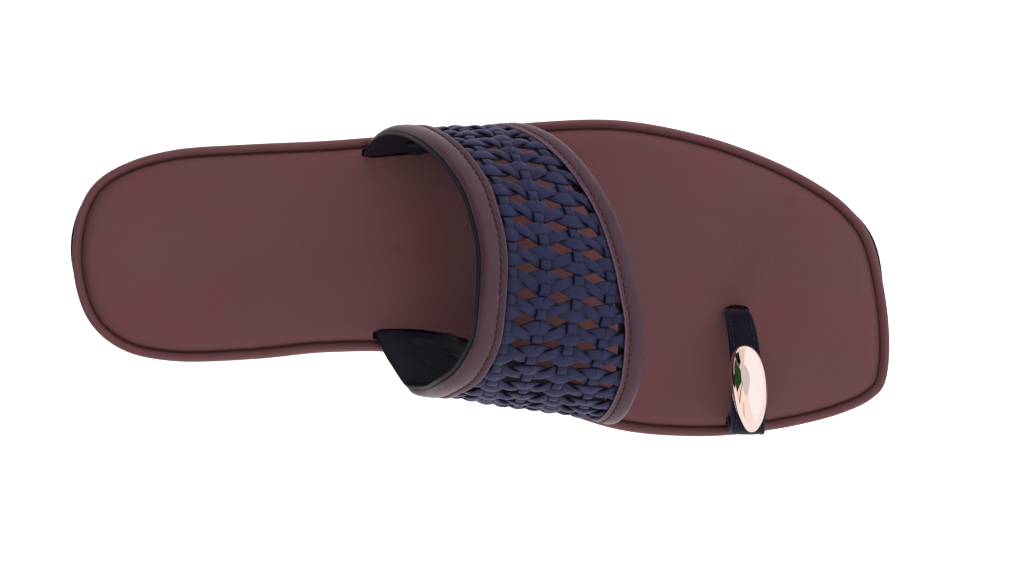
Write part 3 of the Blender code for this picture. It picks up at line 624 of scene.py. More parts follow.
def band_half(side, x):
    """Inner face of the band at x, from one foot up to the ridge."""
    name = "lateral" if side == LATERAL else "medial"
    rim = float(heights["rim"](x))
    foot = (float(inset_y(side, x, FOOT_INSET + foot_drift(side, x))), rim - SLOT_DEPTH + FOOT_GAP)
    wide = (float(band[name + "_y"](x)), float(band[name + "_z"](x)))
    ridge = (float(band["ridge_y"](x)), float(band["ridge_z"](x)))
    return arch(foot, rim + LEG_START, wide, ridge, LATERAL_POWER if side == LATERAL else MEDIAL_POWER)


def band_lattice():
    """Inner face of the band sampled over x and row: stations, rows, points and outward normals."""
    xs = np.arange(BAND_SECTIONS[0][0], BAND_SECTIONS[-1][0] + LATTICE_STEP / 2, LATTICE_STEP)
    rows = np.linspace(0, BAND_ROWS, LATTICE_ROWS)
    lateral = rows <= RIDGE_ROW
    points = np.empty((len(xs), len(rows), 3))
    for i, x in enumerate(xs):
        points[i, :, 0] = x
        for side, use in ((LATERAL, lateral), (MEDIAL, ~lateral)):
            half = band_half(side, x)
            part = rows / RIDGE_ROW if side == LATERAL else (BAND_ROWS - rows) / (BAND_ROWS - RIDGE_ROW)
            for axis in (0, 1):
                points[i, use, axis + 1] = np.interp(part[use], lengths_along(half), half[:, axis])
    normals = np.cross(np.gradient(points, axis=1), np.gradient(points, axis=0))
    normals /= np.linalg.norm(normals, axis=2)[:, :, None]
    return xs, rows, points, normals


LATTICE = band_lattice()


def on_band(x, row, out):
    """Points at distances out from the band's inner face, for arrays of x, row and distance."""
    xs, rows, points, normals = LATTICE
    a = np.clip((x - xs[0]) / (xs[1] - xs[0]), 0, len(xs) - 1.001)
    b = np.clip((row - rows[0]) / (rows[1] - rows[0]), 0, len(rows) - 1.001)
    i, j = a.astype(int), b.astype(int)
    s, t = (a - i)[:, None], (b - j)[:, None]
    mixed = []
    for grid in (points, normals):
        low = grid[i, j] * (1 - s) + grid[i + 1, j] * s
        high = grid[i, j + 1] * (1 - s) + grid[i + 1, j + 1] * s
        mixed.append(low * (1 - t) + high * t)
    normal = mixed[1] / np.linalg.norm(mixed[1], axis=1)[:, None]
    return mixed[0] + normal * np.reshape(out, (-1, 1))


def edge_x(name, row, inset):
    """x of a line that follows one edge of the band at a distance inside it."""
    slope = (edges[name](row + 0.2) - edges[name](row - 0.2)) / (0.4 * ROW_PITCH)
    step = inset * np.hypot(1, slope) / BAND_SLOPE
    return edges[name](row) + (step if name == "rear" else -step)


def band_strip(edge, section, steps, raw_edge_highlight=(0, 0)):
    """Closed strip along one edge of the band; its section's raw edge takes the second material, which adds a
    painted highlight.
    """
    looped = np.array(section)
    wrap = np.concatenate((looped[-1:], looped, looped[:2]))
    curve = eased(wrap, steps)[steps:-2 * steps]
    bm = bmesh.new()
    rings = []
    for row in np.linspace(BINDING_START, BAND_ROWS - BINDING_START, BINDING_STATIONS):
        x = edge_x(edge, row, curve[:, 0])
        rings.append(on_band(x, np.full(len(x), row), curve[:, 1]))
    loft(bm, rings, closed_ends=True)
    bm.faces.ensure_lookup_table()
    count = len(curve)
    for i, face in enumerate(bm.faces[:-2]):
        if raw_edge_highlight[0] * steps <= i % count < raw_edge_highlight[1] * steps:
            face.material_index = 1
    return bm


def leg_panel(first_row, last_row):
    """Thin closed panel inside a leg of the band, with the strands pressed through its inner face."""
    bm = bmesh.new()
    rings = []
    for row in np.linspace(first_row, last_row, LEG_STEPS[0]):
        rear, front = edge_x("rear", row, LEG_MARGINS[0]), edge_x("front", row, LEG_MARGINS[1])
        x = np.linspace(rear, front, LEG_STEPS[1])
        strands = math.cos(math.tau * row) * np.cos(math.pi * x / COLUMN_PITCH)
        fade = np.minimum(1, 4 * (row - first_row)) * np.minimum(1, 4 * (last_row - row))
        inner = LEG_LAYER[0] - LEG_PRESS * fade * np.clip(strands, 0, 1) ** 2
        out = np.concatenate((inner, np.full(len(x), LEG_LAYER[1])))
        x = np.concatenate((x, x[::-1]))
        rings.append(on_band(x, np.full(len(x), row), out))
    loft(bm, rings, closed_ends=True)
    return bm


def loop_path():
    """Middle line of the toe loop's strap as (y, z) points, from its inner foot to its outer one."""
    inner_rim, outer_rim = float(heights["rim"](LOOP_INNER_X)), float(heights["rim"](LOOP_OUTER_X))
    inner_foot = (LOOP_INNER_Y, inner_rim - SLOT_DEPTH + FOOT_GAP)
    outer_y = float(inset_y(MEDIAL, LOOP_OUTER_X, LOOP_FOOT_INSET))
    outer_foot = (outer_y, outer_rim - SLOT_DEPTH + FOOT_GAP)
    inner = arch(inner_foot, inner_rim, LOOP_SHOULDER, LOOP_RIDGE, LOOP_POWER)
    outer = arch(outer_foot, outer_rim + LEG_START, LOOP_BULGE, LOOP_RIDGE, LOOP_POWER)
    return np.concatenate((inner, outer[-2::-1]))


LOOP_PATH = loop_path()
LOOP_SHARES = lengths_along(LOOP_PATH)
# Greatest value of the curve by which the strap leans back towards the heel, a quarter of the way along
LEAN_PEAK = 0.25 * 0.75**3
LOOP_LENGTH = float(np.hypot(*np.diff(LOOP_PATH, axis=0).T).sum())


def loop_points(part, across, out):
    """Points of the toe loop: a fraction of its way from the inner foot, then across and outwards."""
    part, across, out = np.broadcast_arrays(np.asarray(part, float), across, out)
    spot = [np.interp(part, LOOP_SHARES, LOOP_PATH[:, axis]) for axis in (0, 1)]
    low = [np.interp(np.maximum(part - 0.01, 0), LOOP_SHARES, LOOP_PATH[:, axis]) for axis in (0, 1)]
    high = [np.interp(np.minimum(part + 0.01, 1), LOOP_SHARES, LOOP_PATH[:, axis]) for axis in (0, 1)]
    run_y, run_z = high[0] - low[0], high[1] - low[1]
    run = np.hypot(run_y, run_z)
    lean = LOOP_LEAN * part * (1 - part) ** 3 / LEAN_PEAK
    x = LOOP_INNER_X + (LOOP_OUTER_X - LOOP_INNER_X) * part - lean + across
    return np.column_stack((x, spot[0] + run_z / run * out, spot[1] - run_y / run * out))


def loop_width(part):
    """Width of the toe loop, which grows from the inner foot to the outer one."""
    return np.interp(part, (0.0, 0.5, 1.0), LOOP_WIDTHS)


def fill(tree, node, values):
    """Fill a node's inputs: another node's output is linked, anything else is set."""
    for name, value in values.items():
        if isinstance(value, bpy.types.NodeSocket):
            tree.links.new(value, node.inputs[name])
        else:
            node.inputs[name].default_value = value


def put(tree, kind, values=None, out=None, **settings):
    """New node with its properties set and its inputs filled; its first or its named output is returned."""
    made = tree.nodes.new(kind)
    for name, value in settings.items():
        setattr(made, name, value)
    fill(tree, made, values or {})
    return made.outputs[out] if out else next(socket for socket in made.outputs if socket.enabled)


def new_tree(name, kind, inputs, outputs):
    """Empty node group; each socket is given by its default number or by the name of its type."""
    tree = bpy.data.node_groups.new(name, kind + "NodeTree")
    for direction, sockets in (("INPUT", inputs), ("OUTPUT", outputs)):
        for label, given in sockets.items():
            number = {float: "Float", int: "Int"}.get(type(given))
            kind_of_socket = f"NodeSocket{number or given}"
            socket = tree.interface.new_socket(label, in_out=direction, socket_type=kind_of_socket)
            if number:
                socket.default_value = given
    return tree, tree.nodes.new("NodeGroupInput").outputs, tree.nodes.new("NodeGroupOutput")


def grain_group():
    """Leather grain: small cells with fine creases between them, as a height and a mask."""
    inputs = {"Vector": "Vector", "Cell Scale": 1500.0, "Crease Width": 0.12, "Fine Share": 0.35}
    tree, given, made = new_tree("leather_grain", "Shader", inputs, {"Height": "Float", "Creases": "Float"})
    place = given["Vector"]
    bent = put(tree, "ShaderNodeTexNoise", {"Vector": place, "Scale": 420.0, "Detail": 2.0}, "Color")
    pushed = put(tree, "ShaderNodeVectorMath", {0: bent, 1: GRAIN_PUSH, 2: place}, operation="MULTIPLY_ADD")
    sized = {"Vector": pushed, "Scale": given["Cell Scale"]}
    cells = put(tree, "ShaderNodeTexVoronoi", sized, feature="DISTANCE_TO_EDGE")
    limits = {"Value": cells, "From Max": given["Crease Width"]}
    creases = put(tree, "ShaderNodeMapRange", limits, interpolation_type="SMOOTHSTEP")
    speckle = {"Vector": place, "Scale": 3200.0, "Detail": 3.0, "Roughness": 0.6}
    fine = put(tree, "ShaderNodeTexNoise", speckle)
    height = put(tree, "ShaderNodeMix", {"Factor": given["Fine Share"], "A": creases, "B": fine})
    flipped = put(tree, "ShaderNodeMath", {0: 1.0, 1: creases}, operation="SUBTRACT")
    fill(tree, made, {"Height": height, "Creases": flipped})
    return tree


def mottle_group():
    """Soft uneven dye: broad clouds with fine speckle over them, from 0 to 1."""
    inputs = {"Vector": "Vector", "Cloud Scale": 60.0, "Speckle Scale": 1400.0, "Speckle Share": 0.5}
    tree, given, made = new_tree("dye_mottle", "Shader", inputs, {"Mottle": "Float"})
    clouds, speckle = (
        put(tree, "ShaderNodeTexNoise", {"Vector": given["Vector"], "Scale": given[scale], "Detail": detail})
        for scale, detail in (("Cloud Scale", 3.0), ("Speckle Scale", 2.0))
    )
    both = put(tree, "ShaderNodeMix", {"Factor": given["Speckle Share"], "A": clouds, "B": speckle})
    spread = put(tree, "ShaderNodeMapRange", {"Value": both, "From Min": 0.3, "From Max": 0.7})
    fill(tree, made, {"Mottle": spread})
    return tree


def wear_group():
    """Rubbed edges: 1 where the surface is sharply convex, 0 on flats."""
    tree, given, made = new_tree("rubbed_edges", "Shader", {"Start": 0.52, "End": 0.62}, {"Edges": "Float"})
    bend = put(tree, "ShaderNodeNewGeometry", out="Pointiness")
    limits = {"Value": bend, "From Min": given["Start"], "From Max": given["End"]}
    fill(tree, made, {"Edges": put(tree, "ShaderNodeMapRange", limits)})
    return tree


def shared(tree, name, build, values):
    """Outputs of a shader node group of this file in a tree; the group is built on its first use."""
    group = bpy.data.node_groups.get(name) or build()
    return put(tree, "ShaderNodeGroup", values, node_tree=group).node.outputs


def rgba(colour, share=1.0, added=0.0):
    """Colour with its alpha: scaled by one share, or by one for each channel, with a little added."""
    return (*(np.array(colour) * share + added).tolist(), 1.0)


def between(tree, share, low, high):
    """Colour that goes from one to another with a share."""
    return put(tree, "ShaderNodeMix", {"Factor": share, "A": low, "B": high}, data_type="RGBA")


def new_material(name):
    """Empty material: itself, its tree, its shader and its object coordinates."""
    material = bpy.data.materials.new(name)
    material.use_nodes = True
    tree = material.node_tree
    return material, tree, tree.nodes["Principled BSDF"], put(tree, "ShaderNodeTexCoord", out="Object")


def crevice_shaded(tree, colour):
    """Colour with painted shade where other strips lie close, darkened by the ambient occlusion there."""
    open_sky = put(tree, "ShaderNodeAmbientOcclusion", {"Distance": CREVICE_REACH}, "AO", samples=4)
    strength = put(tree, "ShaderNodeMath", {0: open_sky, 1: CREVICE_DEPTH}, operation="POWER")
    return put(tree, "ShaderNodeVectorMath", {0: colour, 1: strength}, operation="MULTIPLY")


def leather(name, colour):
    """Leather or rubber of a finish: mottled dye, grain in bump and roughness, paler rubbed edges, and
    painted shade in the crevices of some finishes.
    """
    dark, light, roughness, ior, cells, crease_width, bump, speckle, clouds = FINISHES[name]
    material, tree, shader, place = new_material(name)
    sizes = {"Vector": place, "Cell Scale": cells, "Crease Width": crease_width}
    grain = shared(tree, "leather_grain", grain_group, sizes)
    sizes = {"Vector": place, "Speckle Share": speckle, "Cloud Scale": clouds}
    mottle = shared(tree, "dye_mottle", mottle_group, sizes)["Mottle"]
    dye = between(tree, mottle, rgba(colour, dark), rgba(colour, light))
    if name in WORN:
        wear = shared(tree, "rubbed_edges", wear_group, {})["Edges"]
        dye = between(tree, wear, dye, rgba(colour, *WORN[name]))
    # Painted shade: the colour is darkened by ambient occlusion where other strips lie close
    if name in CREVICE_SHADED_FINISHES:
        dye = crevice_shaded(tree, dye)
    limits = {"Value": grain["Creases"], "To Min": roughness, "To Max": min(1.0, roughness + CREASE_DULLNESS)}
    dull = put(tree, "ShaderNodeMapRange", limits)
    rise = put(tree, "ShaderNodeBump", {"Height": grain["Height"], "Strength": bump, "Distance": GRAIN_DEPTH})
    fill(tree, shader, {"Base Color": dye, "Roughness": dull, "Normal": rise, "IOR": ior})
    fill(tree, shader, GLOSS.get(name, {}))
    return material


def seam_thread(name, colour):
    """Waxed thread with the slant of its plies in its bump."""
    material, tree, shader, place = new_material(name)
    waves = {"Vector": place, "Scale": 1300.0, "Distortion": 1.5, "Detail": 1.0}
    plies = put(tree, "ShaderNodeTexWave", waves, "Fac")
    dye = between(tree, plies, rgba(colour, 0.6), rgba(colour, 1.3))
    rise = put(tree, "ShaderNodeBump", {"Height": plies, "Strength": 0.5, "Distance": 0.00015})
    fill(tree, shader, {"Base Color": dye, "Normal": rise, "Roughness": 0.6})
    return material


def pinhole_dark():
    """Dark dent round each end of a stitch."""
    material, tree, shader, place = new_material("pinhole_shade")
    shade = put(tree, "ShaderNodeTexNoise", {"Vector": place, "Scale": 2000.0})
    dye = between(tree, shade, (0.008, 0.005, 0.006, 1.0), (0.03, 0.016, 0.018, 1.0))
    fill(tree, shader, {"Base Color": dye, "Roughness": 0.9})
    return material


def polished_metal(colour):
    """Mirror-polished pale gold plate with faint rubbed patches."""
    material, tree, shader, place = new_material("polished_gold")
    haze = put(tree, "ShaderNodeTexNoise", {"Vector": place, "Scale": 260.0, "Detail": 4.0})
    tint = between(tree, haze, rgba(colour, 0.96), rgba(colour))
    limits = {"Value": haze, "From Min": 0.4, "From Max": 0.75, "To Min": 0.02, "To Max": 0.07}
    dull = put(tree, "ShaderNodeMapRange", limits)
    fill(tree, shader, {"Base Color": tint, "Roughness": dull, "Metallic": 1.0})
    return material


def weave_tree():
    """Nodes that repeat one cell of the weave over columns and rows and weld the copies."""
    inputs = {
        "Geometry": "Geometry",
        "Cell": "Object",
        "Columns": 4,
        "Rows": 26,
        "Column Pitch": 0.019,
        "Row Pitch": 0.007,
        "Weld Distance": 0.00002,
        "Outer Side": "Material",
        "Inner Side and Edge Shade": "Material",
    }
    tree, given, made = new_tree("repeat_weave_cell", "Geometry", inputs, {"Geometry": "Geometry"})
    sizes = []
    for count, pitch in (("Columns", "Column Pitch"), ("Rows", "Row Pitch")):
        less = put(tree, "ShaderNodeMath", {0: given[count], 1: 1.0}, operation="SUBTRACT")
        sizes.append(put(tree, "ShaderNodeMath", {0: less, 1: given[pitch]}, operation="MULTIPLY"))
    counts = {"Vertices X": given["Columns"], "Vertices Y": given["Rows"]}
    grid = put(tree, "GeometryNodeMeshGrid", {"Size X": sizes[0], "Size Y": sizes[1], **counts})
    cell = put(tree, "GeometryNodeObjectInfo", {"Object": given["Cell"]}, "Geometry")
    copies = put(tree, "GeometryNodeInstanceOnPoints", {"Points": grid, "Instance": cell})
    real = put(tree, "GeometryNodeRealizeInstances", {"Geometry": copies})
    weld = put(tree, "GeometryNodeMergeByDistance", {"Geometry": real, "Distance": given["Weld Distance"]})
    outer = put(tree, "GeometryNodeSetMaterial", {"Geometry": weld, "Material": given["Outer Side"]})
    # Marked faces take the dark inner finish, which paints shade on the strips' cut edges
    under = put(tree, "GeometryNodeInputNamedAttribute", {"Name": "underside"}, data_type="BOOLEAN")
    sides = {"Geometry": outer, "Selection": under, "Material": given["Inner Side and Edge Shade"]}
    fill(tree, made, {"Geometry": put(tree, "GeometryNodeSetMaterial", sides)})
    return tree


def seam_tree():
    """Nodes that set one small shape on each point, turned to the point's own directions."""
    inputs = {
        "Geometry": "Geometry",
        "Shape": "Object",
        "Length": 1.0,
        "Width": 1.0,
        "Uneven": STITCH_UNEVEN,
        "Seed": 7,
        "Finish": "Material",
    }
    tree, given, made = new_tree("set_along_seam", "Geometry", inputs, {"Geometry": "Geometry"})
    up, along = (
        put(tree, "GeometryNodeInputNamedAttribute", {"Name": name}, data_type="FLOAT_VECTOR")
        for name in ("up", "along")
    )
    stood = put(tree, "FunctionNodeAlignRotationToVector", {"Vector": up}, axis="Z")
    ways = {"Rotation": stood, "Vector": along}
    turned = put(tree, "FunctionNodeAlignRotationToVector", ways, axis="X", pivot_axis="Z")
    about = {0: 1.0, 1: given["Uneven"]}
    low, high = (put(tree, "ShaderNodeMath", about, operation=way) for way in ("SUBTRACT", "ADD"))
    limits = {"Min": low, "Max": high, "Seed": given["Seed"]}
    vary = put(tree, "FunctionNodeRandomValue", limits, data_type="FLOAT")
    length = put(tree, "ShaderNodeMath", {0: given["Length"], 1: vary}, operation="MULTIPLY")
    size = put(tree, "ShaderNodeCombineXYZ", {"X": length, "Y": given["Width"], "Z": given["Width"]})
    shape = put(tree, "GeometryNodeObjectInfo", {"Object": given["Shape"]}, "Geometry")
    sockets = {"Points": given["Geometry"], "Instance": shape, "Rotation": turned, "Scale": size}
    copies = put(tree, "GeometryNodeInstanceOnPoints", sockets)
    real = put(tree, "GeometryNodeRealizeInstances", {"Geometry": copies})
    finish = put(tree, "GeometryNodeSetMaterial", {"Geometry": real, "Material": given["Finish"]})
    fill(tree, made, {"Geometry": finish})
    return tree


def run_tree(base, tree, values, helpers=()):
    """Plain mesh that a tree makes of an object; the object and its helpers are removed."""
    modifier = base.modifiers.new(tree.name, "NODES")
    modifier.node_group = tree
    for item in tree.interface.items_tree:
        if item.item_type == "SOCKET" and item.in_out == "INPUT" and item.name in values:
            modifier[item.identifier] = values[item.name]
    bpy.context.view_layer.update()
    evaluated = base.evaluated_get(bpy.context.evaluated_depsgraph_get())
    mesh = bpy.data.meshes.new_from_object(evaluated)
    for old in (base, *helpers):
        bpy.data.objects.remove(old)
    return mesh


def helper_object(name, bm):
    """Object that only a node tree or a cut reads, from a bmesh in millimetres."""
    return placed(name, mesh_of(name, bm))


# Section of a flat strip: place across as a share of its half width, height as a share of its thickness
STRIP_SECTION = (
    (-1.0, -0.12), (-0.95, 0.22), (-0.72, 0.42), (-0.3, 0.54), (0.3, 0.54), (0.72, 0.42), (0.95, 0.22),
    (1.0, -0.12), (0.86, -0.46), (-0.86, -0.46),
)
# Faces of that section which are dark: its cut edges, which carry painted shade, and its lower face
DARK_FACES = (0, 6, 7, 8, 9)


def strip(bm, centres, half_widths, thickness):
    """Flat strip along points (u, v, w), with a half width at each; its lower face and its cut edges, which
    get painted shade, are marked.
    """
    mark = bm.faces.layers.bool.get("underside") or bm.faces.layers.bool.new("underside")
    run = np.gradient(centres[:, :2], axis=0)
    run /= np.hypot(run[:, 0], run[:, 1])[:, None]
    rows = []
    for (u, v, w), (along_u, along_v), half in zip(centres, run, half_widths):
        row = []
        for across, lift in STRIP_SECTION:
            aside = across * half
            row.append(bm.verts.new((u - along_v * aside, v + along_u * aside, w + lift * thickness)))
        rows.append(row)
    count = len(STRIP_SECTION)
    for near, far in zip(rows, rows[1:]):
        for i in range(count):
            j = (i + 1) % count
            face = bm.faces.new((near[i], far[i], far[j], near[j]))
            # Marked faces get the dark finish: the lower face, and painted shade on the cut edges
            face[mark] = i in DARK_FACES


def weave_cell(settings):
    """One cell of the weave, two columns wide and one row long: two bars and the two strands round them."""
    bm = bmesh.new()
    relief, thickness = settings.relief / MM, settings.strip_thickness / MM
    sway = settings.sway / MM
    u = np.linspace(0, 2 * COLUMN_PITCH, 2 * STRAND_STEPS + 1)
    part = np.where(u <= COLUMN_PITCH, u / COLUMN_PITCH, 2 - u / COLUMN_PITCH)
    zig = sway * (1 - 2 * part * part * (3 - 2 * part))
    beat = np.cos(2 * math.pi * u / COLUMN_PITCH)
    leaf = settings.leaf_width / MM / 2
    fan = settings.fan_width / MM / 2
    leaf_halves = leaf * (1 + settings.spread_under * (1 + beat) / 2)
    fan_halves = fan * (1 + settings.spread_over * (1 + beat) / 2)
    strip(bm, np.column_stack((u, zig, -STRAND_GAP - relief * beat)), leaf_halves, thickness)
    strip(bm, np.column_stack((u, -zig, STRAND_GAP + relief * beat)), fan_halves, thickness)
    bar = settings.bar_width / MM / 2
    v = np.linspace(-ROW_PITCH / 2, ROW_PITCH / 2, BAR_POINTS)
    for column, lead in ((0, 1), (1, -1)):
        crest = np.cos(2 * math.pi * (v - lead * ROW_PITCH / 4) / ROW_PITCH)
        centres = np.column_stack((np.full(len(v), column * COLUMN_PITCH), v, relief * BAR_RELIEF * crest))
        strip(bm, centres, np.full(len(v), bar), thickness)
    bmesh.ops.recalc_face_normals(bm, faces=bm.faces[:])
    return helper_object("weave_cell", bm)


def weave_sheet(settings):
    """The whole weave, still flat: cells repeated from a little past both bindings and both feet."""
    columns, rows = 4, round(BAND_ROWS) + 2
    values = {
        "Columns": columns,
        "Rows": rows,
        "Column Pitch": 2 * COLUMN_PITCH * MM,
        "Row Pitch": ROW_PITCH * MM,
        "Outer Side": leather("woven_leather", settings.strip_colour),
        # The dark inner finish also paints shade on the strips' cut edges
        "Inner Side and Edge Shade": leather("strip_underside_and_edge_shade", settings.lining_colour),
    }
    cell = weave_cell(settings)
    values["Cell"] = cell
    base = helper_object("weave_base", bmesh.new())
    mesh = run_tree(base, weave_tree(), values, (cell,))
    flat = np.empty(len(mesh.vertices) * 3)
    mesh.vertices.foreach_get("co", flat)
    flat = flat.reshape(-1, 3) / MM
    flat[:, 0] -= COLUMN_PITCH
    flat[:, 1] += ROW_PITCH * ((rows - 1) / 2 - 1 + LEAF_PHASE)
    return mesh, flat


def hand_woven(flat, amount):
    """Flat weave with small shifts of each strip, as a hand leaves them."""
    noise.seed_set(HAND_SEED)
    moved = flat.copy()
    for i, (u, v, w) in enumerate(flat):
        shift = noise.noise_vector(Vector((u / HAND_WAVES[0], v / HAND_WAVES[1], HAND_SLICE)))
        moved[i] = (u + shift.x * amount, v + shift.y * amount, w + shift.z * amount * HAND_LIFT)
    return moved


def weave_mesh(settings):
    """Weave wrapped round the band's form and trimmed under its bindings."""
    mesh, flat = weave_sheet(settings)
    flat = hand_woven(flat, settings.unevenness / MM)
    row = np.clip(flat[:, 1] / ROW_PITCH, 0, BAND_ROWS)
    x = edges["column"](row) + flat[:, 0]
    rear, front = edge_x("rear", row, WEAVE_MARGIN), edge_x("front", row, WEAVE_MARGIN)
    inside = (x > rear) & (x < front)
    inside &= (flat[:, 1] > WEAVE_START * ROW_PITCH) & (flat[:, 1] < (BAND_ROWS - WEAVE_START) * ROW_PITCH)
    clear = np.minimum(x - edge_x("rear", row, WEAVE_COVER[0]), edge_x("front", row, WEAVE_COVER[1]) - x)
    calm = np.clip((clear + PRESSED_REACH) / (2 * PRESSED_REACH), PRESSED_SHARE, 1.0)
    placed = on_band(x, row, WEAVE_MIDDLE + flat[:, 2] * calm)
    mesh.vertices.foreach_set("co", (placed * MM).ravel())
    bm = bmesh.new()
    bm.from_mesh(mesh)
    bm.verts.ensure_lookup_table()
    outside = [bm.verts[i] for i in np.flatnonzero(~inside)]
    bmesh.ops.delete(bm, geom=outside, context="VERTS")
    bm.to_mesh(mesh)
    bm.free()
    return mesh


def stitch_shape():
    """One stitch: a short thread that dips at both ends, one millimetre long and thick."""
    bm = bmesh.new()
    rings = []
    for t in np.linspace(0, 1, STITCH_RINGS):
        bow = math.sin(math.pi * t)
        lift = STITCH_BOW * bow - STITCH_SINK
        radius = 0.5 * (STITCH_END + (1 - STITCH_END) * max(0.0, bow) ** STITCH_ROUNDING)
        ring = []
        for k in range(STITCH_SIDES):
            angle = math.tau * k / STITCH_SIDES
            ring.append((t - 0.5, radius * math.cos(angle), lift + radius * math.sin(angle)))
        rings.append(ring)
    loft(bm, rings, closed_ends=True)
    bmesh.ops.recalc_face_normals(bm, faces=bm.faces[:])
    return helper_object("stitch_shape", bm)


def pinhole_shape():
    """Shallow round dent's floor, one millimetre wide."""
    bm = bmesh.new()
    bmesh.ops.create_cone(bm, cap_ends=True, segments=10, radius1=0.5, radius2=0.32, depth=0.22)
    return helper_object("pinhole_shape", bm)


def seam_points(name, places, along, up):
    """Object with one loose vertex for each stitch, and the stitch's own directions on it."""
    mesh = bpy.data.meshes.new(name)
    mesh.from_pydata([tuple(place) for place in places * MM], [], [])
    for label, vectors in (("along", along), ("up", up)):
        attribute = mesh.attributes.new(label, "FLOAT_VECTOR", "POINT")
        attribute.data.foreach_set("vector", np.ascontiguousarray(vectors, dtype=np.float32).ravel())
    return placed(name, mesh)


def sampled(at, share, points):
    """Points of a polyline at given shares or lengths of it."""
    return np.column_stack([np.interp(at, share, points[:, axis]) for axis in range(3)])


def spaced(points, pitch):
    """Places at an even pitch along a polyline, with the directions there."""
    steps = np.linalg.norm(np.diff(points, axis=0), axis=1)
    length = np.concatenate(([0.0], np.cumsum(steps)))
    at = np.arange(pitch / 2, length[-1], pitch)
    along = sampled(at + SLOPE_REACH, length, points) - sampled(at - SLOPE_REACH, length, points)
    return sampled(at, length, points), along / np.linalg.norm(along, axis=1)[:, None], at / length[-1]


def band_seam(edge, inset, pitch):
    """Stitch places along one binding, with their directions."""
    rows = np.linspace(SEAM_START, BAND_ROWS - SEAM_START, SEAM_POINTS)
    x = edge_x(edge, rows, inset)
    line = on_band(x, rows, np.full(len(rows), SEAM_OUT))
    over = on_band(x, rows, np.full(len(rows), SEAM_OUT + 1.0)) - line
    places, along, share = spaced(line, pitch)
    return places, along, sampled(share, np.linspace(0, 1, len(rows)), over)


def loop_seam(offset, pitch):
    """Stitch places along one edge of the toe loop, with their directions."""
    part = np.linspace(*LOOP_SEAM_RUN, LOOP_SEAM_POINTS)
    side = math.copysign(1.0, offset)
    across = side * (loop_width(part) / 2 - abs(offset))
    line = loop_points(part, across, LOOP_SEAM_OUT)
    over = loop_points(part, across, LOOP_SEAM_OUT + 1.0) - line
    places, along, share = spaced(line, pitch)
    return places, along, sampled(share, np.linspace(0, 1, len(part)), over)


def stitch_sizes(settings):
    """Pitch, stitch length and thread width of a seam, in millimetres."""
    return settings.stitch_pitch / MM, settings.stitch_length / MM, settings.thread_width / MM


def pinhole_spots(seam, stitch_length):
    """Places of the dents at the far end of each stitch of a seam."""
    places, along, up = seam
    return places + along * (stitch_length / 2 + PINHOLE_GAP) - up * PINHOLE_SINK, along, up


def sewn(name, seams, shape, sizes, uneven, finish, slot):
    """Piece of one small shape, of a length and a width, repeated on a list of seams."""
    joined = [np.concatenate(parts) for parts in zip(*seams)]
    values = {"Shape": shape, "Length": sizes[0], "Width": sizes[1], "Uneven": uneven, "Finish": finish}
    mesh = run_tree(seam_points(name + "_places", *joined), seam_tree(), values, (shape,))
    return show_piece(name, mesh, slot)


def slot_box(side, first_x, last_x, drift=0.0):
    """Cutter that follows the rim between two stations, with a share of the foot's drift inwards."""
    bm = bmesh.new()
    steps = max(2, round((last_x - first_x) / SLOT_STEP))
    rings = []
    for i, x in enumerate(np.linspace(first_x, last_x, steps + 1)):
        floor = float(heights["rim"](x)) - SLOT_DEPTH
        roof = float(heights["rim"](x)) + SLOT_ROOF
        inset = drift * foot_drift(side, x)
        pinch = SLOT_END_TAPER * (SLOT_INNER - SLOT_OUTER) / 2 if i in (0, steps) else 0.0
        inner = float(inset_y(side, x, SLOT_INNER + inset - pinch))
        outer = float(inset_y(side, x, SLOT_OUTER + inset + pinch))
        rings.append([(x, inner, floor), (x, outer, floor), (x, outer, roof), (x, inner, roof)])
    loft(bm, rings, closed_ends=True)
    return bm


def oval_slot(centre, size, depth):
    """Cutter with a long oval outline round the loop's inner foot."""
    bm = bmesh.new()
    rings = []
    for z in (centre[2] - depth, centre[2] + depth):
        ring = []
        for k in range(OVAL_POINTS):
            angle = math.tau * k / OVAL_POINTS
            x = math.copysign(abs(math.cos(angle)) ** OVAL_FULLNESS, math.cos(angle)) * size[0] / 2
            y = math.copysign(abs(math.sin(angle)) ** OVAL_FULLNESS, math.sin(angle)) * size[1] / 2
            ring.append((centre[0] + x, centre[1] + y, z))
        rings.append(ring)
    loft(bm, rings, closed_ends=True)
    return bm


def strap_cutters():
    """Cutters for the slots of the band's and the loop's feet."""
    cutters = []
    feet = ((LATERAL, 0.0, SLOT_ROWS), (MEDIAL, BAND_ROWS, BAND_ROWS - SLOT_ROWS))
    for side, foot, top in feet:
        rear = min(float(edges["rear"](foot)), float(edges["rear"](top))) - SLOT_END_GAP
        front = max(float(edges["front"](foot)), float(edges["front"](top))) + SLOT_END_GAP
        cutters.append(slot_box(side, rear, front, 1.0))
    half = LOOP_WIDTHS[-1] / 2 + SLOT_END_GAP
    cutters.append(slot_box(MEDIAL, LOOP_OUTER_X - half, LOOP_OUTER_X + half))
    centre = (LOOP_INNER_X, LOOP_SLOT_Y, float(heights["rim"](LOOP_INNER_X)))
    cutters.append(oval_slot(centre, LOOP_SLOT, SLOT_DEPTH))
    made = []
    for i, bm in enumerate(cutters):
        face_outwards(bm)
        made.append(helper_object(f"strap_slot_{i}", bm))
    return made


def cut_slots(name, bm):
    """Mesh of a sole layer with the strap slots cut."""
    face_outwards(bm)
    body = helper_object(name, bm)
    cutters = strap_cutters()
    for cutter in cutters:
        modifier = body.modifiers.new(cutter.name, "BOOLEAN")
        modifier.operation = "DIFFERENCE"
        modifier.solver = "EXACT"
        modifier.object = cutter
    bpy.context.view_layer.update()
    mesh = bpy.data.meshes.new_from_object(body.evaluated_get(bpy.context.evaluated_depsgraph_get()))
    for old in (body, *cutters):
        bpy.data.objects.remove(old)
    return mesh


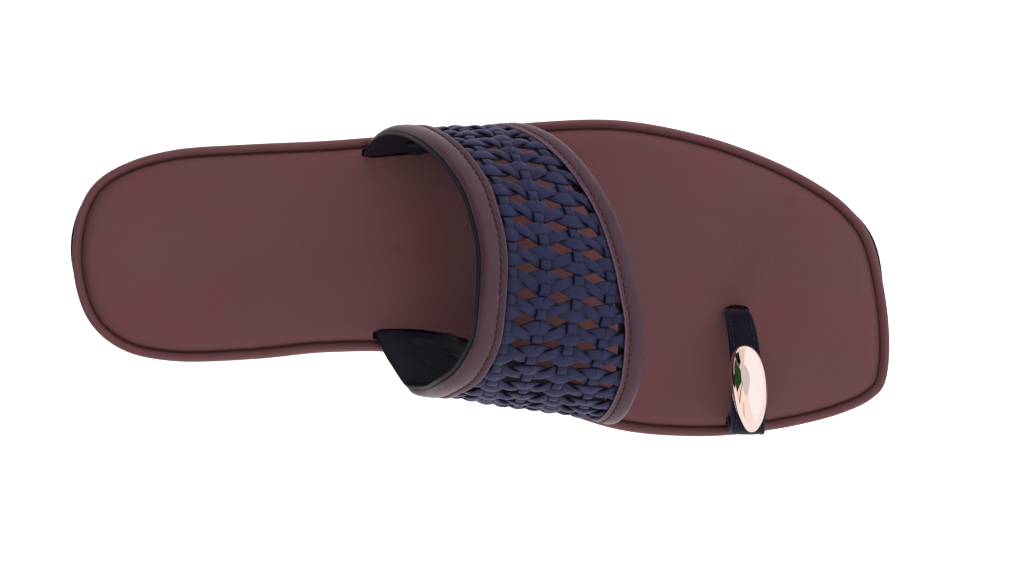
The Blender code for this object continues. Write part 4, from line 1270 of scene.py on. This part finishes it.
def tread_places(length, width):
    """Lug places under heel and forefoot, in staggered rows, with their directions."""
    places = []
    for first, last in LUG_FIELDS:
        stations = np.arange(first, last, length + LUG_ROW_GAP)
        for i, x in enumerate(stations):
            low, high = (float(inset_y(side, x, LUG_INSET)) for side in (MEDIAL, LATERAL))
            for y in np.arange(low + (i % 2) * (width + LUG_GAP) / 2, high, width + LUG_GAP):
                places.append((x, y, float(heights["tread"](x)) + LUG_DEPTH + 0.02))
    places = np.array(places)
    along = np.tile((1.0, 0.0, 0.0), (len(places), 1))
    up = np.tile((0.0, 0.0, -1.0), (len(places), 1))
    return places, along, up


def lug_shape(width):
    """Flat-topped hexagonal lug of unit size, as deep as the tread once it is scaled to a width."""
    depth = LUG_DEPTH / width
    bm = bmesh.new()
    bmesh.ops.create_cone(bm, cap_ends=True, segments=6, radius1=0.5, radius2=0.42, depth=depth)
    bmesh.ops.translate(bm, vec=(0, 0, depth / 2), verts=bm.verts[:])
    return helper_object("lug_shape", bm)


def dye_setting(name, description, default):
    """Setting for a colour."""
    return FloatVectorProperty(name=name, description=description, subtype="COLOR", size=3, default=default)


def size_setting(name, description, default, **limits):
    """Setting for a length, shown in the scene's unit."""
    return FloatProperty(name=name, description=description, unit="LENGTH", default=default, **limits)


class SoleSettings(bpy.types.PropertyGroup):
    """Sizes and colours of the sole."""

    footbed_colour: dye_setting("Footbed Colour", "Dye of the footbed leather", (0.13, 0.053, 0.057))
    rubber_colour: dye_setting("Rubber Colour", "Colour of the outsole", (0.012, 0.012, 0.013))
    lug_length: size_setting("Lug Length", "Length of a tread lug", 0.0044, min=0.002)
    lug_width: size_setting("Lug Width", "Width of a tread lug", 0.0044, min=0.002)


class BandSettings(bpy.types.PropertyGroup):
    """Sizes and colours of the woven band and its trim."""

    strip_colour: dye_setting("Strip Colour", "Dye of the woven strips", (0.0175, 0.019, 0.055))
    binding_colour: dye_setting("Binding Colour", "Dye of the bindings", (0.05, 0.0215, 0.034))
    lining_colour: dye_setting("Lining Colour", "Dye of the lining", (0.006, 0.007, 0.013))
    thread_colour: dye_setting("Thread Colour", "Thread of the bindings", (0.05, 0.016, 0.019))
    bar_width: size_setting("Bar Width", "Width of the strips that run round the band", 0.0029)
    leaf_width: size_setting("Leaf Width", "Width of the strand that passes under the bars", 0.0029)
    fan_width: size_setting("Fan Width", "Width of the strand that passes over the bars", 0.0034)
    spread_under: FloatProperty(
        name="Spread Under", description="Share by which a strand widens under a bar", default=0.38
    )
    spread_over: FloatProperty(
        name="Spread Over", description="Share by which a strand widens over a bar", default=0.18
    )
    sway: size_setting("Sway", "How far a strand swings to each side of its row", 0.00152)
    relief: size_setting("Relief", "Rise and fall of the strips over each other", 0.0006)
    strip_thickness: size_setting("Strip Thickness", "Thickness of the leather strips", 0.00105)
    unevenness: size_setting("Unevenness", "Small shifts that the hand leaves", 0.00045)
    stitch_pitch: size_setting("Stitch Pitch", "Distance from stitch to stitch", 0.0024, min=0.001)
    stitch_length: size_setting("Stitch Length", "Length of a stitch that shows", 0.0017)
    thread_width: size_setting("Thread Width", "Thickness of the thread", 0.00066)


class LoopSettings(bpy.types.PropertyGroup):
    """Sizes and colours of the toe loop and its ornament."""

    loop_colour: dye_setting("Loop Colour", "Dye of the toe loop", (0.005, 0.005, 0.012))
    metal_colour: dye_setting("Metal Colour", "Tint of the ornament", (1.0, 0.87, 0.8))
    thread_colour: dye_setting("Thread Colour", "Thread of the toe loop", (0.007, 0.007, 0.016))
    stitch_length: size_setting("Stitch Length", "Length of a stitch that shows", 0.0016)
    thread_width: size_setting("Thread Width", "Thickness of the thread", 0.00038)
    stitch_pitch: size_setting("Stitch Pitch", "Distance from stitch to stitch", 0.0022, min=0.001)
    egg_rings: IntProperty(name="Egg Rings", description="Rings of faces on the ornament", default=36, min=8)


class StageSettings(bpy.types.PropertyGroup):
    """Camera, lights and floor."""

    camera_x: size_setting("Camera X", "Camera over this x", 0.0099)
    camera_y: size_setting("Camera Y", "Camera over this y", -0.00285)
    camera_height: size_setting("Camera Height", "Height over the floor", 0.775, min=0.2)
    lens: FloatProperty(name="Lens", description="Focal length on a 36 mm sensor", default=85.04, min=10)
    box_power: FloatProperty(
        name="Box Power", description="Power of a full soft box of the ring", unit="POWER", default=2.9
    )
    sky: FloatProperty(name="Sky", description="Brightness of the white room", default=0.13, min=0)
    floor_glow: FloatProperty(
        name="Floor Glow", description="Brightness the floor adds by itself", default=0.85, min=0
    )


class SANDAL_OT_outsole(bpy.types.Operator):
    """Make the rubber outsole with its side groove and its tread lugs"""

    bl_idname = "sandal.outsole"
    bl_label = "Outsole"

    def execute(self, context):
        settings = context.scene.sandal_sole
        rubber = leather("sole_rubber", settings.rubber_colour)
        bm = sole_mesh(OUTSOLE_SIDE, "tread", "join", 3, reach=outsole_reach(outline()))
        piece_from("rubber_outsole", bm, "outsole_rubber", ("outsole",), materials=(rubber,))
        sizes = (settings.lug_length / MM, settings.lug_width / MM)
        lug = lug_shape(sizes[1])
        sewn("tread_lugs", [tread_places(*sizes)], lug, sizes, 0.0, rubber, "outsole_rubber")
        return {"FINISHED"}


class SANDAL_OT_midsole(bpy.types.Operator):
    """Make the wrapped edge of the footbed with its rolled rim and groove"""

    bl_idname = "sandal.midsole"
    bl_label = "Wrapped Edge"

    def execute(self, context):
        finish = leather("brushed_footbed", context.scene.sandal_sole.footbed_colour)
        mesh = cut_slots("wrapped_edge", sole_mesh(MIDSOLE_SIDE, "join", "rim", 4))
        show_piece("wrapped_edge", mesh, "footbed_leather", ("midsole",), 40, (finish,))
        return {"FINISHED"}


class SANDAL_OT_footbed(bpy.types.Operator):
    """Make the padded footbed with its crowned edge and dished heel"""

    bl_idname = "sandal.footbed"
    bl_label = "Footbed"

    def execute(self, context):
        bm = sole_mesh(PAD_SIDE, "join", "rim", 4, strips=PAD_STRIPS, top=footbed_z)
        mesh = cut_slots("padded_footbed", bm)
        colour = context.scene.sandal_sole.footbed_colour
        finish = bpy.data.materials.get("brushed_footbed") or leather("brushed_footbed", colour)
        piece = show_piece("padded_footbed", mesh, "footbed_leather", ("insole",), 40, (finish,))
        return {"FINISHED"}


class SANDAL_OT_weave(bpy.types.Operator):
    """Weave the leather strips of the instep band"""

    bl_idname = "sandal.weave"
    bl_label = "Woven Band"

    def execute(self, context):
        mesh = weave_mesh(context.scene.sandal_band)
        show_piece("woven_strips", mesh, "woven_leather", ("woven_upper",), 60)
        return {"FINISHED"}


class SANDAL_OT_trim(bpy.types.Operator):
    """Make the bindings and linings along both edges of the band"""

    bl_idname = "sandal.trim"
    bl_label = "Bindings and Linings"

    def execute(self, context):
        settings = context.scene.sandal_band
        brown = leather("binding_leather", settings.binding_colour)
        black = leather("black_lining", settings.lining_colour)
        # Raw edge of the bindings: lighter leather with a painted highlight along the lip
        raw_and_highlight = leather("binding_raw_edge_highlight", rgba(settings.binding_colour, *RAW_EDGE_HIGHLIGHT_TINT)[:3])
        for edge, section in (("rear", REAR_BINDING), ("front", FRONT_BINDING)):
            bm = band_strip(edge, section, 3, RAW_EDGE_HIGHLIGHT_POINTS)
            name = f"{edge}_binding"
            piece_from(f"{edge}_folded_binding", bm, "binding_leather", (name,), 60, (brown, raw_and_highlight))
            bm = band_strip(edge, REAR_LINING if edge == "rear" else FRONT_LINING, 3)
            piece_from(f"{edge}_lining_strip", bm, "lining", (f"{edge}_lining",), 60, (black,))
        for side, rows in LEG_ROWS.items():
            piece_from(f"{side}_leg_lining", leg_panel(*rows), "lining", (), 60, (black,))
        return {"FINISHED"}


class SANDAL_OT_stitches(bpy.types.Operator):
    """Sew the stitches of both bindings and of the toe loop"""

    bl_idname = "sandal.stitches"
    bl_label = "Stitches"

    def execute(self, context):
        settings = context.scene.sandal_band
        pitch, *sizes = stitch_sizes(settings)
        seams = [band_seam("rear", REAR_SEAM_INSET, pitch), band_seam("front", FRONT_SEAM_INSET, pitch)]
        brown = seam_thread("binding_thread", settings.thread_colour)
        sewn("binding_stitches", seams, stitch_shape(), sizes, STITCH_UNEVEN, brown, "binding_leather")
        spots = [pinhole_spots(seam, sizes[0]) for seam in seams]
        sizes, dent = (PINHOLE_WIDTH, PINHOLE_WIDTH), pinhole_dark()
        sewn("binding_pinholes", spots, pinhole_shape(), sizes, PINHOLE_UNEVEN, dent, "binding_leather")
        settings = context.scene.sandal_loop
        pitch, *sizes = stitch_sizes(settings)
        seams = [loop_seam(LOOP_SEAM, pitch), loop_seam(-LOOP_SEAM, pitch)]
        dark = seam_thread("loop_thread", settings.thread_colour)
        sewn("loop_stitches", seams, stitch_shape(), sizes, STITCH_UNEVEN, dark, "loop_leather")
        return {"FINISHED"}


class SANDAL_OT_toe_loop(bpy.types.Operator):
    """Make the strap of the toe loop with a rounded ridge along both edges"""

    bl_idname = "sandal.toe_loop"
    bl_label = "Toe Loop"

    def execute(self, context):
        bm = bmesh.new()
        rings = []
        for part in np.linspace(0, LOOP_LAST, LOOP_STATIONS):
            half = float(loop_width(part)) / 2
            right = [(half - inwards, height) for inwards, height in LOOP_SIDE]
            right.append((half * LOOP_FLAT, LOOP_CROWN))
            section = right + [(-across, out) for across, out in reversed(right)]
            across, out = np.array(section).T
            rings.append(loop_points(np.full(len(across), part), across, out))
        loft(bm, rings, closed_ends=True)
        finish = leather("loop_leather", context.scene.sandal_loop.loop_colour)
        piece_from("toe_loop_strap", bm, "loop_leather", ("toe_loop",), 60, (finish,))
        return {"FINISHED"}


class SANDAL_OT_ornament(bpy.types.Operator):
    """Make the polished egg on the toe loop with its thin rim"""

    bl_idname = "sandal.ornament"
    bl_label = "Ornament"

    def execute(self, context):
        settings = context.scene.sandal_loop
        turns = math.tau * np.arange(EGG_SEGMENTS) / EGG_SEGMENTS
        along = np.sign(np.sin(turns)) * np.abs(np.sin(turns)) ** (2 / EGG_FULLNESS)
        across = np.sign(np.cos(turns)) * np.abs(np.cos(turns)) ** (2 / EGG_FULLNESS)
        climb = np.linspace(0, math.pi / 2, settings.egg_rings)[:-1]
        lip_share = np.clip(along * LIP_GROWTH, 0, 1)
        rim = [(plain + (lipped - plain) * lip_share, height) for plain, lipped, height in EGG_RIM]
        dome_foot = EGG_RIM[-1][-1] + 0.05
        dome = [(math.cos(angle), dome_foot + EGG_HEIGHT * math.sin(angle)) for angle in climb]
        rings = []
        for share, height in (*rim, *dome):
            lengthwise, sideways = along * share, across * share
            taper = 1 - EGG_TAPER * lengthwise - EGG_TAPER / 2 * lengthwise * lengthwise
            part = EGG_CENTRE + lengthwise * EGG_LENGTH / 2 / LOOP_LENGTH
            side = sideways * EGG_HALF_WIDTH * taper + EGG_TILT * lengthwise + EGG_SIDE
            rings.append(loop_points(part, side, EGG_BACK + height * (1 - EGG_LEAN * sideways)))
        bm = bmesh.new()
        loft(bm, rings, closed_ends=True)
        finish = polished_metal(settings.metal_colour)
        piece_from("polished_egg", bm, "polished_metal", ("toe_ornament",), 50, (finish,))
        return {"FINISHED"}


def area_light(name, place, target, size, power):
    """Soft box that faces a target."""
    data = bpy.data.lights.new(name, "AREA")
    data.shape = "RECTANGLE"
    data.size, data.size_y = size
    data.energy = power
    light = placed(name, data)
    light.location = place
    light.rotation_euler = (Vector(target) - Vector(place)).to_track_quat("-Z", "Y").to_euler()
    light.visible_glossy = False


def plain_material(name, values):
    """Material of a staged object, made of its shader's own values."""
    material = bpy.data.materials.new(name)
    material.use_nodes = True
    fill(material.node_tree, material.node_tree.nodes["Principled BSDF"], values)
    return material


def only_mirrored(name, mesh, colour):
    """Staged object of one colour that only polished surfaces show."""
    black = {"Base Color": (0.0, 0.0, 0.0, 1.0), "Specular IOR Level": 0.0}
    glow = {"Emission Color": (*colour, 1.0), "Emission Strength": 1.0}
    mesh.materials.append(plain_material(name, {**black, **glow}))
    card = placed(name, mesh)
    card.visible_camera = False
    card.visible_diffuse = False
    card.visible_shadow = False


def reflection_card(name, azimuths, elevations, distance, colour):
    """Glowing or dark patch of the room round the ornament that only polished surfaces show."""
    bm = bmesh.new()
    rows = []
    for elevation in np.radians(np.linspace(*elevations, 7)):
        row = []
        for azimuth in np.radians(np.linspace(*azimuths, 17)):
            flat = math.cos(elevation)
            way = Vector((flat * math.cos(azimuth), flat * math.sin(azimuth), math.sin(elevation)))
            row.append(bm.verts.new(Vector(ORNAMENT_SPOT) + way * distance))
        rows.append(row)
    for low, high in zip(rows, rows[1:]):
        for i in range(len(low) - 1):
            bm.faces.new((low[i], low[i + 1], high[i + 1], high[i]))
    only_mirrored(name, mesh_of(name, bm, 1.0), colour)


def floor_sheet(name, height):
    """Large square sheet at a height, as a mesh."""
    bm = bmesh.new()
    bmesh.ops.create_grid(bm, x_segments=1, y_segments=1, size=FLOOR_HALF)
    bmesh.ops.translate(bm, vec=(0, 0, height), verts=bm.verts[:])
    return mesh_of(name, bm, 1.0)


class SANDAL_OT_stage(bpy.types.Operator):
    """Set the camera over the sandal, soft light and a white floor"""

    bl_idname = "sandal.stage"
    bl_label = "Stage"

    def execute(self, context):
        settings = context.scene.sandal_stage
        scene = context.scene
        scene.view_settings.view_transform = "Standard"
        data = bpy.data.cameras.new("photo_camera")
        data.lens = settings.lens
        data.sensor_width = 36.0
        camera = placed("photo_camera", data)
        camera.location = (settings.camera_x, settings.camera_y, settings.camera_height)
        scene.camera = camera
        world = bpy.data.worlds.new("white_room")
        world.use_nodes = True
        sky = world.node_tree.nodes["Background"]
        sky.inputs["Color"].default_value = (1.0, 0.985, 1.0, 1.0)
        sky.inputs["Strength"].default_value = settings.sky
        scene.world = world
        for name, azimuth, elevation, share in SOFT_BOXES:
            turn, lift = math.radians(azimuth), math.radians(elevation)
            flat = BOX_DISTANCE * math.cos(lift)
            place = (flat * math.cos(turn), flat * math.sin(turn), BOX_DISTANCE * math.sin(lift))
            area_light(name, place, BOX_TARGET, BOX_SIZE, settings.box_power * share)
        floor_mesh = floor_sheet("floor", 0.0)
        floor = placed("floor", floor_mesh)
        paper = {"Base Color": (0.9, 0.9, 0.9, 1.0), "Roughness": 0.9, "Specular IOR Level": 0.1}
        glow = {"Emission Color": (1.0, 1.0, 1.0, 1.0), "Emission Strength": settings.floor_glow}
        floor_mesh.materials.append(plain_material("white_paper", {**paper, **glow}))
        floor.visible_glossy = False
        mirrored = floor_sheet("mirrored_floor", MIRRORED_FLOOR_Z)
        only_mirrored("mirrored_floor", mirrored, MIRRORED_FLOOR)
        for name, azimuths, elevations, distance, colour in REFLECTIONS:
            reflection_card(name, azimuths, elevations, distance, colour)
        return {"FINISHED"}


OPERATORS = (
    SANDAL_OT_outsole,
    SANDAL_OT_midsole,
    SANDAL_OT_footbed,
    SANDAL_OT_weave,
    SANDAL_OT_trim,
    SANDAL_OT_stitches,
    SANDAL_OT_toe_loop,
    SANDAL_OT_ornament,
    SANDAL_OT_stage,
)
SETTINGS = {
    "sandal_sole": SoleSettings,
    "sandal_band": BandSettings,
    "sandal_loop": LoopSettings,
    "sandal_stage": StageSettings,
}


class SANDAL_PT_pieces(bpy.types.Panel):
    """Pieces of the sandal, in the order in which they are made"""

    bl_idname = "SANDAL_PT_pieces"
    bl_label = "Toe Loop Sandal"
    bl_space_type = "VIEW_3D"
    bl_region_type = "UI"
    bl_category = "Sandal"

    def draw(self, context):
        column = self.layout.column()
        for operator in OPERATORS:
            column.operator(operator.bl_idname)
        for name, group in SETTINGS.items():
            box = self.layout.box()
            for setting in group.__annotations__:
                box.prop(getattr(context.scene, name), setting)


def register():
    """Register the settings, the operators and the panel."""
    for group in SETTINGS.values():
        bpy.utils.register_class(group)
    for name, group in SETTINGS.items():
        setattr(bpy.types.Scene, name, PointerProperty(type=group))
    for operator in OPERATORS:
        bpy.utils.register_class(operator)
    bpy.utils.register_class(SANDAL_PT_pieces)


def unregister():
    """Take everything back that register added."""
    bpy.utils.unregister_class(SANDAL_PT_pieces)
    for operator in reversed(OPERATORS):
        bpy.utils.unregister_class(operator)
    for name in SETTINGS:
        delattr(bpy.types.Scene, name)
    for group in reversed(SETTINGS.values()):
        bpy.utils.unregister_class(group)


def main():
    """Make every piece and the stage."""
    register()
    bpy.ops.sandal.outsole()
    bpy.ops.sandal.midsole()
    bpy.ops.sandal.footbed()
    bpy.ops.sandal.weave()
    bpy.ops.sandal.trim()
    bpy.ops.sandal.stitches()
    bpy.ops.sandal.toe_loop()
    bpy.ops.sandal.ornament()
    bpy.ops.sandal.stage()


if __name__ == "__main__":
    main()
